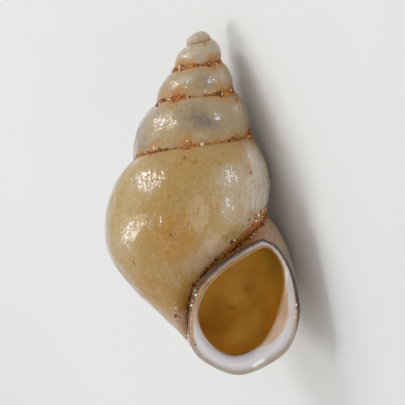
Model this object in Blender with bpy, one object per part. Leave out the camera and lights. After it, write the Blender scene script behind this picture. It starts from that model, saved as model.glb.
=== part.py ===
"""Mud snail shell: a small, hollow, right-handed spiral shell lying on its side.

The shell is one closed solid. Its outside is swept turn by turn from a growth rule, a short
straight stretch of tube carries the outside to a rounded lip, and the hollow inside is cut from
the lip up through the whorls. Lengths are millimetres until the mesh is made in metres.
"""

import math

import bmesh
import bpy
import numpy as np
from mathutils import Matrix

MM = 0.001

# Growth: turns are counted from the apex, depths are measured down the axis from the apex.
TURNS = 5.375
BULB_PER_TURN = 0.32
BULB_TURNS = 0.8
RADIUS_PER_TURN = 0.121
RADIUS_PER_TURN_SQUARED = 0.0297
FLARE = 0.03
FLARE_TURNS = 0.3
DROP_PER_TURN = 0.25
DROP_SQUARED = 0.041
DROP_SIXTH_POWER = 0.000111

# Whorl profile, in shares of the whorl's own radius or of its height below the periphery.
SHOULDER_HEIGHT = 0.72
SHOULDER_FLATNESS = 1.55
BASE_LENGTH = 2.03
BASE_END = 4.58
BASE_END_RISE = 0.05
BASE_BLEND = 0.12
BASE_FULLNESS = (0.42, 0.60, 0.60)
BASE_FULL_END = (0.75, 0.59, 1.75)
FILLING_TURNS = 0.5

# Wall and the space round the axis.
WALL = 0.045
WALL_PER_RADIUS = 0.022
GLAZE = 0.015
COLUMELLA = 0.09
HOLLOW_CENTRE = (0.62, 0.12)
HOLLOW_FROM_TURN = 1.75
HOLLOW_TIP_TURNS = 0.35

# Lip: how far it stands forward of the axis, its outer edge and its opening as (across, depth).
LIP_FORWARD = 1.0
LIP_SLANT = 0.09
LIP_TILT = 0.18
LIP_TOP = 3.03
LIP_CENTRE = (0.84, 4.10)
OUTER_LIP = (
    (0.95, 3.03), (1.10, 3.03), (1.28, 3.15), (1.47, 3.44), (1.59, 3.82), (1.62, 4.11),
    (1.54, 4.48), (1.32, 4.76), (0.80, 5.01), (0.30, 4.86),
)
INNER_LIP = ((0.05, 4.59), (0.01, 4.12), (0.12, 3.73), (0.48, 3.34))
OPENING = (
    (1.06, 3.13), (1.22, 3.23), (1.33, 3.44), (1.35, 3.70), (1.30, 4.00), (1.22, 4.28),
    (1.10, 4.50), (0.93, 4.65), (0.74, 4.72), (0.55, 4.70), (0.36, 4.58), (0.21, 4.39),
    (0.14, 4.18), (0.17, 3.97), (0.27, 3.75), (0.46, 3.53), (0.77, 3.29),
)
ROOT_INSIDE = ((0.0, 4.2), (0.06, 3.65), (0.40, 3.22), (0.84, 2.85))
LIP_CREST = 0.5
LIP_ROUND_OUT = 0.07
LIP_ROUND_IN = 0.16
OPENING_GROWTH = 0.02
LIP_ROOT_INSET = 0.16
LIP_ROOT_BEHIND = 0.22
ROOT_OUTSET = 0.008

# Fineness of the mesh.
STEPS_PER_TURN = 32
UPPER_ROWS = 6
LOWER_ROWS = 2
BASE_ROWS = 8
RING_POINTS = 22
LIP_POINTS = 40
LIP_ROWS = 6
FRONT_ROWS = 5
LIP_STEPS = 12
PROFILE_POINTS = 60
SEARCH_POINTS = 400
CLEARING_STEPS = 4
TINY = 1e-9

CREAM = (0.60, 0.45, 0.26, 1.0)
GLOSSY_ROUGHNESS = 0.3

# Rest: the side of the shell that lies on the ground, counted from straight right of the
# opening towards the back, and how far the apex end dips.
REST_SIDE = math.radians(22.5)
REST_DIP = math.radians(17.5)


def radius_at(turn):
    bulb = BULB_PER_TURN * turn * math.exp(-turn / BULB_TURNS)
    flare = FLARE * max(0.0, 1.0 - (TURNS - turn) / FLARE_TURNS) ** 2
    return bulb + RADIUS_PER_TURN * turn + RADIUS_PER_TURN_SQUARED * turn**2 + flare


def suture_depth(turn):
    below = max(turn - 1.0, 0.0)
    return DROP_PER_TURN * below + DROP_SQUARED * below**2 + DROP_SIXTH_POWER * below**6


def periphery_depth(turn):
    return suture_depth(turn) + SHOULDER_HEIGHT * radius_at(turn)


def base_depth(turn):
    """Depth at which the whorl's base meets the axis."""
    free = suture_depth(turn) + BASE_LENGTH * radius_at(turn)
    end = BASE_END - BASE_END_RISE * (TURNS - turn)
    return -BASE_BLEND * float(np.logaddexp(-free / BASE_BLEND, -end / BASE_BLEND))


def lower_profile(turn, share):
    """Points from the periphery (share 0) to the axis (share 1), as radius and depth."""
    top = periphery_depth(turn)
    height = base_depth(turn) - top
    filling = max(0.0, 1.0 - (TURNS - turn) / FILLING_TURNS) ** 2
    side, inset, foot = np.array(BASE_FULLNESS) * (1 - filling) + np.array(BASE_FULL_END) * filling
    start = (1 - share) ** 3
    first = 3 * (1 - share) ** 2 * share
    second = 3 * (1 - share) * share**2
    across = radius_at(turn) * (start + first + inset * second)
    depth = top + height * (side * first + foot * second + share**3)
    return np.stack([across, depth], axis=-1)


def lower_share_at(turn, depth):
    shares = np.linspace(0.0, 1.0, SEARCH_POINTS)
    depths = np.maximum.accumulate(lower_profile(turn, shares)[:, 1])
    return float(np.interp(depth, depths, shares))


def next_suture_share(turn):
    """Where, down the whorl's lower side, the next whorl is or would be attached."""
    middle = 0.5 * (periphery_depth(turn) + base_depth(turn))
    return lower_share_at(turn, min(suture_depth(turn + 1.0), middle))


def suture_point(turn):
    """Where the whorl's top touches the whorl before it; the first turn starts at the apex."""
    before = turn - 1.0
    if before <= 0.0:
        return np.zeros(2)
    return lower_profile(before, lower_share_at(before, suture_depth(turn)))


def upper_profile(turn, share):
    """Points from the suture (share 0) to the periphery (share 1)."""
    start = suture_point(turn)
    angle = share * math.pi / 2
    across = start[0] + (radius_at(turn) - start[0]) * np.sin(angle) ** SHOULDER_FLATNESS
    depth = start[1] + (periphery_depth(turn) - start[1]) * (1 - np.cos(angle))
    return np.stack([across, depth], axis=-1)


def azimuth(turn):
    return 2 * math.pi * (TURNS - turn)


def turned(points, angle):
    """Radius and depth carried round the axis to an angle."""
    across, depth = points[..., 0], points[..., 1]
    return np.stack([across * math.cos(angle), across * math.sin(angle), -depth], axis=-1)


def column_points(turn, to_axis):
    """One whorl's outside at one turn: down to the next suture, or on to the axis."""
    split = next_suture_share(turn)
    upper = upper_profile(turn, np.linspace(0, 1, UPPER_ROWS + 1)[1:])
    lower = lower_profile(turn, np.linspace(0, split, LOWER_ROWS + 1)[1:])
    base = lower_profile(turn, np.linspace(split, 1, BASE_ROWS + 1)[1:])
    return np.concatenate([upper, lower, base] if to_axis else [upper, lower])


def body_mesh():
    """The outside of all whorls, closed by a flat face where the last one ends."""
    steps = round(TURNS * STEPS_PER_TURN)
    open_from = steps - STEPS_PER_TURN
    side_rows = UPPER_ROWS + LOWER_ROWS
    vertices = [np.zeros(3)]
    columns = [[0] * (side_rows + 1)]
    for step in range(1, steps + 1):
        turn = step / STEPS_PER_TURN
        points = column_points(turn, step >= open_from)
        top = columns[step - STEPS_PER_TURN][side_rows] if step > STEPS_PER_TURN else 0
        first = len(vertices)
        vertices.extend(turned(points, azimuth(turn)))
        columns.append([top] + list(range(first, len(vertices))))
    faces = []
    for step in range(steps):
        here, there = columns[step], columns[step + 1]
        rows = len(there) - 1 if step >= open_from else side_rows
        for row in range(rows):
            corners = [here[row], there[row], there[row + 1], here[row + 1]]
            face = [v for k, v in enumerate(corners) if v != corners[k - 1]]
            if len(face) > 2:
                faces.append(face)
    along_axis = [columns[step][-1] for step in range(steps - 1, open_from, -1)]
    start_of_last_turn = columns[open_from][side_rows + 1:]
    faces.append(columns[steps] + along_axis + start_of_last_turn[::-1])
    return vertices, faces


def offset(points, distance):
    """An open line of points moved sideways, to its left where distance is positive."""
    along = np.gradient(points, axis=0)
    along /= np.linalg.norm(along, axis=1)[:, None]
    return points + distance * np.stack([along[:, 1], -along[:, 0]], axis=-1)


def seen_from(centre, lines, count):
    """Where count rays from a centre first meet any of the lines."""
    angles = 2 * math.pi * np.arange(count) / count
    rays = np.stack([np.cos(angles), np.sin(angles)], axis=-1)
    reach = np.full(count, np.inf)
    across_ray, down_ray = rays[:, :1], rays[:, 1:]
    for line in lines:
        start = line[:-1] - centre
        edge = line[1:] - line[:-1]
        cross = across_ray * edge[:, 1] - down_ray * edge[:, 0]
        cross = np.where(np.abs(cross) < TINY, TINY, cross)
        distance = (start[:, 0] * edge[:, 1] - start[:, 1] * edge[:, 0]) / cross
        share = (start[:, 0] * down_ray - start[:, 1] * across_ray) / cross
        met = (distance > 0) & (share >= -TINY) & (share <= 1 + TINY)
        reach = np.minimum(reach, np.where(met, distance, np.inf).min(axis=1))
    return centre + rays * reach[:, None]


def whole_profile(turn):
    upper = upper_profile(turn, np.linspace(0, 1, PROFILE_POINTS))
    lower = lower_profile(turn, np.linspace(0, 1, PROFILE_POINTS)[1:])
    return np.concatenate([upper, lower])


def hollow_centre(turn):
    radius = radius_at(turn)
    depth = periphery_depth(turn)
    across_share, depth_share = HOLLOW_CENTRE
    return np.array([across_share * radius, depth + depth_share * (base_depth(turn) - depth)])


def hollow_ring(turn):
    """Outline of the hollow in a whorl: inside its wall and outside the whorl before it."""
    radius = radius_at(turn)
    wall = WALL + WALL_PER_RADIUS * radius
    outer = offset(whole_profile(turn), -wall)
    inner = offset(whole_profile(turn - 1.0), GLAZE)
    column = COLUMELLA * radius
    top, bottom = 0.0, base_depth(turn) + 1.0
    axis = np.array([[column, top], [column, bottom]])
    return seen_from(hollow_centre(turn), [outer, inner, axis], RING_POINTS)


def smooth_loop(points, per_span):
    """A closed Catmull-Rom curve through hand-set points."""
    points = np.array(points)
    loop = []
    for index in range(len(points)):
        a, b, c, d = (points[(index + k) % len(points)] for k in (-1, 0, 1, 2))
        for step in range(per_span):
            t = step / per_span
            loop.append(
                0.5 * (2 * b + (c - a) * t + (2 * a - 5 * b + 4 * c - d) * t**2
                       + (3 * b - a - 3 * c + d) * t**3)
            )
    return np.array(loop + [loop[0]])


def lip_forward(flat):
    """How far the crest of the lip stands forward at points given as across and depth."""
    return LIP_FORWARD - LIP_SLANT * flat[:, 0] - LIP_TILT * (flat[:, 1] - LIP_TOP)


def lip_fall(share):
    """How far the lip falls back from its crest, from its outer edge (0) to the opening (1)."""
    if share < LIP_CREST:
        out = 1 - share / LIP_CREST
        return LIP_ROUND_OUT * (1 - math.sqrt(1 - out**2))
    into = (share - LIP_CREST) / (1 - LIP_CREST)
    return LIP_ROUND_IN * (1 - math.sqrt(1 - into**2))


def lip_outlines(count):
    """The lip's outer edge and its opening, as seen from the lip's centre."""
    centre = np.array(LIP_CENTRE)
    edge = seen_from(centre, [smooth_loop(OUTER_LIP + INNER_LIP, LIP_STEPS)], count)
    opening = seen_from(centre, [smooth_loop(OPENING, LIP_STEPS)], count)
    return edge, opening


def root_outline():
    """Outline of the tube where it leaves the coil, closed along the inside of the body."""
    profile = offset(whole_profile(TURNS), ROOT_OUTSET)
    top = profile[0]
    pole = profile[-1]
    return [profile, np.array([pole, *ROOT_INSIDE, top])]


def ease(share):
    return share * share * (3 - 2 * share)


def lip_rings():
    """Rings of the tube from inside the body to the lip's edge, over its crest and in."""
    centre_root = hollow_centre(TURNS)
    root = seen_from(centre_root, root_outline(), LIP_POINTS)
    edge, opening = lip_outlines(LIP_POINTS)
    behind = centre_root + (root - centre_root) * (1 - LIP_ROOT_INSET)
    rings = [np.stack([behind[:, 0], np.full(LIP_POINTS, LIP_ROOT_BEHIND), -behind[:, 1]], -1)]
    for row in range(LIP_ROWS + 1):
        share = row / LIP_ROWS
        flat = root + (edge - root) * ease(share)
        forward = -(lip_forward(flat) - LIP_ROUND_OUT) * share
        rings.append(np.stack([flat[:, 0], forward, -flat[:, 1]], -1))
    for row in range(1, FRONT_ROWS + 1):
        share = 0.5 - 0.5 * math.cos(math.pi * row / FRONT_ROWS)
        flat = edge + (opening - edge) * share
        forward = lip_fall(share) - lip_forward(flat)
        rings.append(np.stack([flat[:, 0], forward, -flat[:, 1]], -1))
    return rings


def body_radius(angle, depth):
    """Radius of the coil's own surface under the lip, at an angle just past its end."""
    turn = TURNS - 1.0 - angle / (2 * math.pi)
    profile = whole_profile(turn)
    depths = np.maximum.accumulate(profile[:, 1])
    return float(np.interp(depth, depths, profile[:, 0], right=0.0))


def clear_of_body(ring):
    """Points pushed sideways until they clear the whorl behind the inner lip."""
    for point in ring:
        for _ in range(CLEARING_STEPS):
            angle = math.atan2(point[1], point[0])
            if angle > 0 or angle < -math.pi / 2:
                break
            reach = body_radius(angle, -point[2]) + GLAZE
            if math.hypot(point[0], point[1]) >= reach or reach <= abs(point[1]):
                break
            point[0] = math.sqrt(reach**2 - point[1] ** 2)
    return ring


def hollow_rings():
    """Rings of the hollow from near the apex to just past the lip."""
    rings = []
    first = round(HOLLOW_FROM_TURN * STEPS_PER_TURN)
    steps = round(TURNS * STEPS_PER_TURN)
    for step in range(first, steps + 1):
        turn = step / STEPS_PER_TURN
        ring = hollow_ring(turn)
        centre = hollow_centre(turn)
        tip = min(1.0, (step - first + 1) / (HOLLOW_TIP_TURNS * STEPS_PER_TURN))
        ring = centre + (ring - centre) * math.sqrt(tip)
        rings.append(turned(ring, azimuth(turn)))
    root = hollow_ring(TURNS)
    edge, opening = lip_outlines(RING_POINTS)
    mouth = opening + (edge - opening) * OPENING_GROWTH
    for row in range(1, LIP_ROWS + 2):
        share = row / LIP_ROWS
        flat = root + (mouth - root) * ease(min(share, 1.0))
        forward = -(lip_forward(flat) - LIP_ROUND_IN) * share
        ring = np.stack([flat[:, 0], forward, -flat[:, 1]], -1)
        rings.append(clear_of_body(ring))
    return rings


def loft_mesh(rings):
    count = len(rings[0])
    vertices = list(np.concatenate(rings))
    faces = [list(range(count))[::-1]]
    for row in range(len(rings) - 1):
        base = row * count
        for index in range(count):
            after = (index + 1) % count
            faces.append([base + index, base + after, base + count + after, base + count + index])
    last = (len(rings) - 1) * count
    faces.append([last + index for index in range(count)])
    return vertices, faces


def closed_object(name, vertices, faces):
    """A mesh object with its faces turned outwards."""
    mesh = bpy.data.meshes.new(name)
    mesh.from_pydata([tuple(float(v) * MM for v in point) for point in vertices], [], faces)
    work = bmesh.new()
    work.from_mesh(mesh)
    bmesh.ops.recalc_face_normals(work, faces=work.faces)
    if work.calc_volume(signed=True) < 0:
        bmesh.ops.reverse_faces(work, faces=work.faces)
    work.to_mesh(mesh)
    work.free()
    obj = bpy.data.objects.new(name, mesh)
    bpy.context.scene.collection.objects.link(obj)
    return obj


def helper_object(name, vertices, faces):
    obj = closed_object(name, vertices, faces)
    obj.hide_render = True
    obj.display_type = "WIRE"
    return obj


def combine(obj, other, operation):
    modifier = obj.modifiers.new(operation.title(), "BOOLEAN")
    modifier.operation = operation
    modifier.solver = "MANIFOLD"
    modifier.object = other


def shell_material():
    material = bpy.data.materials.new("shell_cream")
    material.use_nodes = True
    surface = material.node_tree.nodes["Principled BSDF"]
    surface.inputs["Base Color"].default_value = CREAM
    surface.inputs["Roughness"].default_value = GLOSSY_ROUGHNESS
    surface.inputs["Metallic"].default_value = 0.0
    return material


def lay_down(shell, helpers):
    """Turns everything to its rest, apex towards +Y, and sets the shell on the ground."""
    dip = Matrix.Rotation(-math.pi / 2 - REST_DIP, 4, "X")
    roll = Matrix.Rotation(math.pi / 2 - REST_SIDE, 4, "Z")
    rest = dip @ roll
    bpy.context.view_layer.update()
    evaluated = shell.evaluated_get(bpy.context.evaluated_depsgraph_get())
    points = np.array([rest @ vertex.co for vertex in evaluated.data.vertices])
    low, high = points.min(axis=0), points.max(axis=0)
    place = Matrix.Translation((-(low[0] + high[0]) / 2, -(low[1] + high[1]) / 2, -low[2]))
    for obj in (shell, *helpers):
        obj.matrix_world = place @ rest


def main():
    for obj in list(bpy.data.objects):
        bpy.data.objects.remove(obj)
    shell = closed_object("shell", *body_mesh())
    tube = helper_object("lip_tube", *loft_mesh(lip_rings()))
    hollow = helper_object("hollow", *loft_mesh(hollow_rings()))
    combine(shell, tube, "UNION")
    combine(shell, hollow, "DIFFERENCE")
    shell.data.materials.append(shell_material())
    shell.data.shade_smooth()
    lay_down(shell, (tube, hollow))


main()
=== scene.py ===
"""Mud snail shell: the finish of the wall, the lip and the inside, the grains in the seams,
and a plain stage. Laid out as an add-on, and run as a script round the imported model.

All shapes are worked out in millimetres in the shell's own frame: the apex at the origin, the
axis down -Z, the opening towards -Y. The objects then carry that frame to its rest.
"""

import math

import bmesh
import bpy
import numpy as np
from bpy.props import FloatProperty, FloatVectorProperty, IntProperty, PointerProperty
from mathutils import Matrix, Vector
from mathutils.bvhtree import BVHTree
from mathutils.kdtree import KDTree


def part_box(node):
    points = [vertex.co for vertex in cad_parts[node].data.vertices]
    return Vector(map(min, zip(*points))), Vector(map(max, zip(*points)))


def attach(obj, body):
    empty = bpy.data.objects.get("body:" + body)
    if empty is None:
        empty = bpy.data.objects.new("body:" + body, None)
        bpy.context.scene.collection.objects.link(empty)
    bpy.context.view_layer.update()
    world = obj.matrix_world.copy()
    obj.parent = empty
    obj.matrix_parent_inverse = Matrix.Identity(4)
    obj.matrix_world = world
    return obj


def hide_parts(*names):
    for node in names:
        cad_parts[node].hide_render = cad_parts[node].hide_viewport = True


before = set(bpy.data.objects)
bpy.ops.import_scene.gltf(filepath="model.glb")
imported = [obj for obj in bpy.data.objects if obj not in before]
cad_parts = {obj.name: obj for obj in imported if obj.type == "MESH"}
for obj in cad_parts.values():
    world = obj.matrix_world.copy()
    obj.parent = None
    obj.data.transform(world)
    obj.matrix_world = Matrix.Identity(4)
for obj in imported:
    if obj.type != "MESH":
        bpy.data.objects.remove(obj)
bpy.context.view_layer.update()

bl_info = {
    "name": "Mud snail shell",
    "version": (1, 0, 0),
    "blender": (4, 5, 0),
    "location": "3D View > Sidebar > Mud snail shell",
    "description": "Builds a mud snail shell with its seam grains and a plain stage",
    "category": "Add Mesh",
}

MM = 0.001
# Points of the wall closer than this, in metres, are one point.
SLIVER = 2e-9

# Growth: turns are counted from the apex, depths are measured down the axis from the apex.
TURNS = 5.375
BULB_PER_TURN = 0.32
BULB_TURNS = 0.8
RADIUS_PER_TURN = 0.121
RADIUS_PER_TURN_SQUARED = 0.0297
FLARE = 0.03
FLARE_TURNS = 0.3
DROP_PER_TURN = 0.25
DROP_SQUARED = 0.041
DROP_SIXTH_POWER = 0.000111

# Whorl profile, in shares of the whorl's own radius or of its height below the periphery.
SHOULDER_HEIGHT = 0.72
SHOULDER_FLATNESS = 1.55
BASE_LENGTH = 2.03
BASE_END = 4.58
BASE_END_RISE = 0.05
BASE_BLEND = 0.12
BASE_FULLNESS = (0.42, 0.60, 0.60)
BASE_FULL_END = (0.75, 0.59, 1.75)
FILLING_TURNS = 0.5

# Wall and the space round the axis.
WALL = 0.045
WALL_PER_RADIUS = 0.022
GLAZE = 0.015
COLUMELLA = 0.09
HOLLOW_CENTRE = (0.62, 0.12)
HOLLOW_FROM_TURN = 1.75
HOLLOW_TIP_TURNS = 0.35

# Lip: how far it stands forward of the axis, and its outlines as (across, depth).
LIP_FORWARD = 1.0
LIP_SLANT = 0.09
LIP_TILT = 0.18
LIP_TOP = 3.03
LIP_CENTRE = (0.84, 4.10)
OUTER_LIP = (
    (0.95, 3.03), (1.1, 3.03), (1.28, 3.15), (1.47, 3.44), (1.59, 3.82), (1.62, 4.11), (1.54, 4.48),
    (1.32, 4.76), (0.8, 5.01), (0.3, 4.86),
)
INNER_LIP = ((0.05, 4.59), (0.01, 4.12), (0.12, 3.73), (0.48, 3.34))
OPENING = (
    (1.06, 3.13), (1.22, 3.23), (1.33, 3.44), (1.35, 3.7), (1.3, 4.0), (1.22, 4.28), (1.1, 4.5),
    (0.93, 4.65), (0.74, 4.72), (0.55, 4.7), (0.36, 4.58), (0.21, 4.39), (0.14, 4.18), (0.17, 3.97),
    (0.27, 3.75), (0.46, 3.53), (0.77, 3.29),
)
ROOT_INSIDE = ((0.0, 4.2), (0.06, 3.65), (0.40, 3.22), (0.84, 2.85))
LIP_ROOT_INSET = 0.16
LIP_ROOT_BEHIND = 0.22
ROOT_OUTSET = 0.003
CREST_SHARE = 0.5
LIP_ROUND_OUT = 0.07
LIP_ROUND_IN = 0.16
LIP_TURNS = 0.11
LIP_BACK_SHARE = 0.8
MOUTH_OUTSET = 0.02
PAST_LIP = 2.0
CLEARING_STEPS = 4

# Rest: the side of the shell that lies on the ground, counted from straight right of the
# opening towards the back, and how far the apex end dips.
REST_SIDE = math.radians(22.5)
REST_DIP = math.radians(17.5)

# Fineness of the mesh.
UPPER_ROWS = 18
LOWER_ROWS = 7
BASE_ROWS = 22
RING_POINTS = 120
HOLLOW_STEPS_PER_TURN = 60
LIP_POINTS = 240
LIP_ROWS = 26
FRONT_ROWS = 22
LIP_STEPS = 12
PROFILE_POINTS = 60
SEARCH_POINTS = 400
TINY = 1e-9
NOISE_WAVES = 24
SEAM_FROM_TURN = 0.95
SEAM_STEP = 0.004
SEAM_SLACK = 0.002
SHARP_EDGE = math.radians(50)

# Slots of the shell's mesh: which surface a face belongs to.
BODY, MOUTH, LIP, INSIDE = range(4)


# What the properties of each kind share.
COLOUR = {"subtype": "COLOR", "size": 3, "min": 0, "max": 1}
LENGTH = {"min": 0.0, "unit": "LENGTH", "precision": 7}
POWER = {"min": 0.0, "unit": "POWER", "precision": 5}


class ShellSizes(bpy.types.PropertyGroup):
    """Sizes of the fine relief and the grains, and how finely the wall is meshed."""

    steps_per_turn: IntProperty(
        name="Steps per turn", default=224, min=32, max=320,
        description="Mesh columns in each turn of the spiral",
    )
    growth_line_height: FloatProperty(
        name="Growth line height", default=2.5e-6,
        description="Height of the low ridges left by stops in growth", **LENGTH,
    )
    dent_depth: FloatProperty(
        name="Dent depth", default=6e-6,
        description="Depth of the shallow dents all over the whorls", **LENGTH,
    )
    wrinkle_height: FloatProperty(
        name="Wrinkle height", default=1.8e-6,
        description="Height of the fine wrinkles of the outer skin", **LENGTH,
    )
    seam_grains: IntProperty(
        name="Seam grains", default=1900,
        description="How many grains of sand and rust lie in the seams", min=0,
    )
    lip_grains: IntProperty(
        name="Lip grains", default=900,
        description="How many dark grains lie between the body and the inner lip", min=0,
    )
    grain_radius: FloatProperty(
        name="Grain radius", default=1.1e-5, description="Radius of a middling grain", **LENGTH,
    )


class ShellColours(bpy.types.PropertyGroup):
    """Colours of the shell, its lip, its inside and the grains."""

    cream: FloatVectorProperty(
        name="Cream", default=(0.39, 0.24, 0.05), description="Main colour of the last whorl", **COLOUR,
    )
    pale: FloatVectorProperty(
        name="Pale", default=(0.34, 0.26, 0.145), description="Colour of the upper whorls", **COLOUR,
    )
    amber: FloatVectorProperty(
        name="Amber", default=(0.40, 0.185, 0.006), description="Warm stains under the surface", **COLOUR,
    )
    grey: FloatVectorProperty(
        name="Grey", default=(0.12, 0.11, 0.09),
        description="Blue-grey patches where the wall is thin", **COLOUR,
    )
    rust: FloatVectorProperty(
        name="Rust", default=(0.50, 0.185, 0.022), description="Rusty film beside the seams", **COLOUR,
    )
    skin: FloatVectorProperty(
        name="Skin", default=(0.05, 0.02, 0.014),
        description="Dark edge of the organic skin along the lip", **COLOUR,
    )
    lip: FloatVectorProperty(
        name="Lip", default=(0.61, 0.585, 0.6),
        description="White enamel on the crest of the lip", **COLOUR,
    )
    blush: FloatVectorProperty(
        name="Blush", default=(0.52, 0.36, 0.24),
        description="Pinkish slope inside the outer lip", **COLOUR,
    )
    lavender: FloatVectorProperty(
        name="Lavender", default=(0.19, 0.115, 0.105),
        description="Thin glaze of the inner lip beside the body", **COLOUR,
    )
    inside: FloatVectorProperty(
        name="Inside", default=(0.42, 0.22, 0.035), description="Inside of the opening", **COLOUR,
    )


class StageSettings(bpy.types.PropertyGroup):
    """Floor, lamps and camera."""

    floor_colour: FloatVectorProperty(
        name="Floor", default=(0.72, 0.72, 0.71), description="Colour of the floor", **COLOUR,
    )
    sky: FloatProperty(
        name="Sky", default=0.66, min=0.0,
        description="Strength of the even light from all round",
    )
    key: FloatProperty(
        name="Key lamp", default=0.006,
        description="Power of the narrow lamp on the left, towards the spire", **POWER,
    )
    fill: FloatProperty(
        name="Fill lamp", default=0.0068, description="Power of the broad lamp beside the camera", **POWER,
    )
    side: FloatProperty(
        name="Side lamp", default=0.0054,
        description="Power of the narrow lamp on the left, towards the base", **POWER,
    )
    view_width: FloatProperty(
        name="View width", default=0.00595, min=0.001, unit="LENGTH", precision=5,
        description="Width of what the camera sees at the shell",
    )


# --- growth and whorl profiles


def radius_at(turn):
    bulb = BULB_PER_TURN * turn * math.exp(-turn / BULB_TURNS)
    flare = FLARE * max(0.0, 1.0 - (TURNS - turn) / FLARE_TURNS) ** 2
    return bulb + RADIUS_PER_TURN * turn + RADIUS_PER_TURN_SQUARED * turn**2 + flare


def suture_depth(turn):
    """Depth of the seam at one turn or at many."""
    below = np.maximum(np.asarray(turn) - 1.0, 0.0)
    return DROP_PER_TURN * below + DROP_SQUARED * below**2 + DROP_SIXTH_POWER * below**6


def periphery_depth(turn):
    """Depth of the whorl's widest part."""
    return float(suture_depth(turn)) + SHOULDER_HEIGHT * radius_at(turn)


def base_depth(turn):
    """Depth at which the whorl's base meets the axis."""
    free = float(suture_depth(turn)) + BASE_LENGTH * radius_at(turn)
    end = BASE_END - BASE_END_RISE * (TURNS - turn)
    return -BASE_BLEND * float(np.logaddexp(-free / BASE_BLEND, -end / BASE_BLEND))


def lower_profile(turn, share):
    """Points from the periphery (share 0) to the axis (share 1), as radius and depth."""
    top = periphery_depth(turn)
    height = base_depth(turn) - top
    filling = max(0.0, 1.0 - (TURNS - turn) / FILLING_TURNS) ** 2
    side, inset, foot = np.array(BASE_FULLNESS) * (1 - filling) + np.array(BASE_FULL_END) * filling
    start = (1 - share) ** 3
    first = 3 * (1 - share) ** 2 * share
    second = 3 * (1 - share) * share**2
    across = radius_at(turn) * (start + first + inset * second)
    depth = top + height * (side * first + foot * second + share**3)
    return np.stack([across, depth], axis=-1)


def lower_share_at(turn, depth):
    """Where the lower profile reaches a depth."""
    shares = np.linspace(0.0, 1.0, SEARCH_POINTS)
    depths = np.maximum.accumulate(lower_profile(turn, shares)[:, 1])
    return float(np.interp(depth, depths, shares))


def next_suture_share(turn):
    """Where, down the whorl's lower side, the next whorl is or would be attached."""
    middle = 0.5 * (periphery_depth(turn) + base_depth(turn))
    return lower_share_at(turn, min(float(suture_depth(turn + 1.0)), middle))


def suture_point(turn):
    """Where the whorl's top touches the whorl before it; the first turn starts at the apex."""
    before = turn - 1.0
    if before <= 0.0:
        return np.zeros(2)
    return lower_profile(before, lower_share_at(before, float(suture_depth(turn))))


def upper_profile(turn, share):
    """Points from the suture (share 0) to the periphery (share 1)."""
    start = suture_point(turn)
    angle = share * math.pi / 2
    across = start[0] + (radius_at(turn) - start[0]) * np.sin(angle) ** SHOULDER_FLATNESS
    depth = start[1] + (periphery_depth(turn) - start[1]) * (1 - np.cos(angle))
    return np.stack([across, depth], axis=-1)


def azimuth(turn):
    return math.tau * (TURNS - turn)


def turned(points, angle):
    """Radius and depth carried round the axis to an angle."""
    across, depth = points[..., 0], points[..., 1]
    return np.stack([across * math.cos(angle), across * math.sin(angle), -depth], axis=-1)


def column_points(turn, to_axis):
    """One whorl's outside at one turn: down to the next suture, or on to the axis."""
    split = next_suture_share(turn)
    upper = upper_profile(turn, np.linspace(0, 1, UPPER_ROWS + 1)[1:])
    lower = lower_profile(turn, np.linspace(0, split, LOWER_ROWS + 1)[1:])
    base = lower_profile(turn, np.linspace(split, 1, BASE_ROWS + 1)[1:])
    return np.concatenate([upper, lower, base] if to_axis else [upper, lower])


def body_mesh(steps_per_turn):
    """The outside of all whorls, closed by a flat face where the last one ends."""
    steps = round(TURNS * steps_per_turn)
    open_from = steps - steps_per_turn
    side_rows = UPPER_ROWS + LOWER_ROWS
    vertices = [np.zeros(3)]
    columns = [[0] * (side_rows + 1)]
    for step in range(1, steps + 1):
        turn = step / steps_per_turn
        points = column_points(turn, step >= open_from)
        top = columns[step - steps_per_turn][side_rows] if step > steps_per_turn else 0
        first = len(vertices)
        vertices.extend(turned(points, azimuth(turn)))
        columns.append([top] + list(range(first, len(vertices))))
    faces = []
    for step in range(steps):
        here, there = columns[step], columns[step + 1]
        rows = len(there) - 1 if step >= open_from else side_rows
        for row in range(rows):
            corners = [here[row], there[row], there[row + 1], here[row + 1]]
            face = [v for k, v in enumerate(corners) if v != corners[k - 1]]
            if len(face) > 2:
                faces.append(face)
    along_axis = [columns[step][-1] for step in range(steps - 1, open_from, -1)]
    start_of_last_turn = columns[open_from][side_rows + 1:]
    faces.append(columns[steps] + along_axis + start_of_last_turn[::-1])
    return vertices, faces, [BODY] * len(faces)


# --- opening, lip and hollow


def offset(points, distance):
    """An open line of points moved sideways, to its left where distance is positive."""
    along = np.gradient(points, axis=0)
    along /= np.linalg.norm(along, axis=1)[:, None]
    return points + distance * np.stack([along[:, 1], -along[:, 0]], axis=-1)


def seen_from(centre, lines, count):
    """Where count rays from a centre first meet any of the lines."""
    angles = math.tau * np.arange(count) / count
    rays = np.stack([np.cos(angles), np.sin(angles)], axis=-1)
    reach = np.full(count, np.inf)
    across_ray, down_ray = rays[:, :1], rays[:, 1:]
    for line in lines:
        start = line[:-1] - centre
        edge = line[1:] - line[:-1]
        cross = across_ray * edge[:, 1] - down_ray * edge[:, 0]
        cross = np.where(np.abs(cross) < TINY, TINY, cross)
        distance = (start[:, 0] * edge[:, 1] - start[:, 1] * edge[:, 0]) / cross
        share = (start[:, 0] * down_ray - start[:, 1] * across_ray) / cross
        met = (distance > 0) & (share >= -TINY) & (share <= 1 + TINY)
        reach = np.minimum(reach, np.where(met, distance, np.inf).min(axis=1))
    return centre + rays * reach[:, None]


def whole_profile(turn):
    upper = upper_profile(turn, np.linspace(0, 1, PROFILE_POINTS))
    lower = lower_profile(turn, np.linspace(0, 1, PROFILE_POINTS)[1:])
    return np.concatenate([upper, lower])


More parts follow.
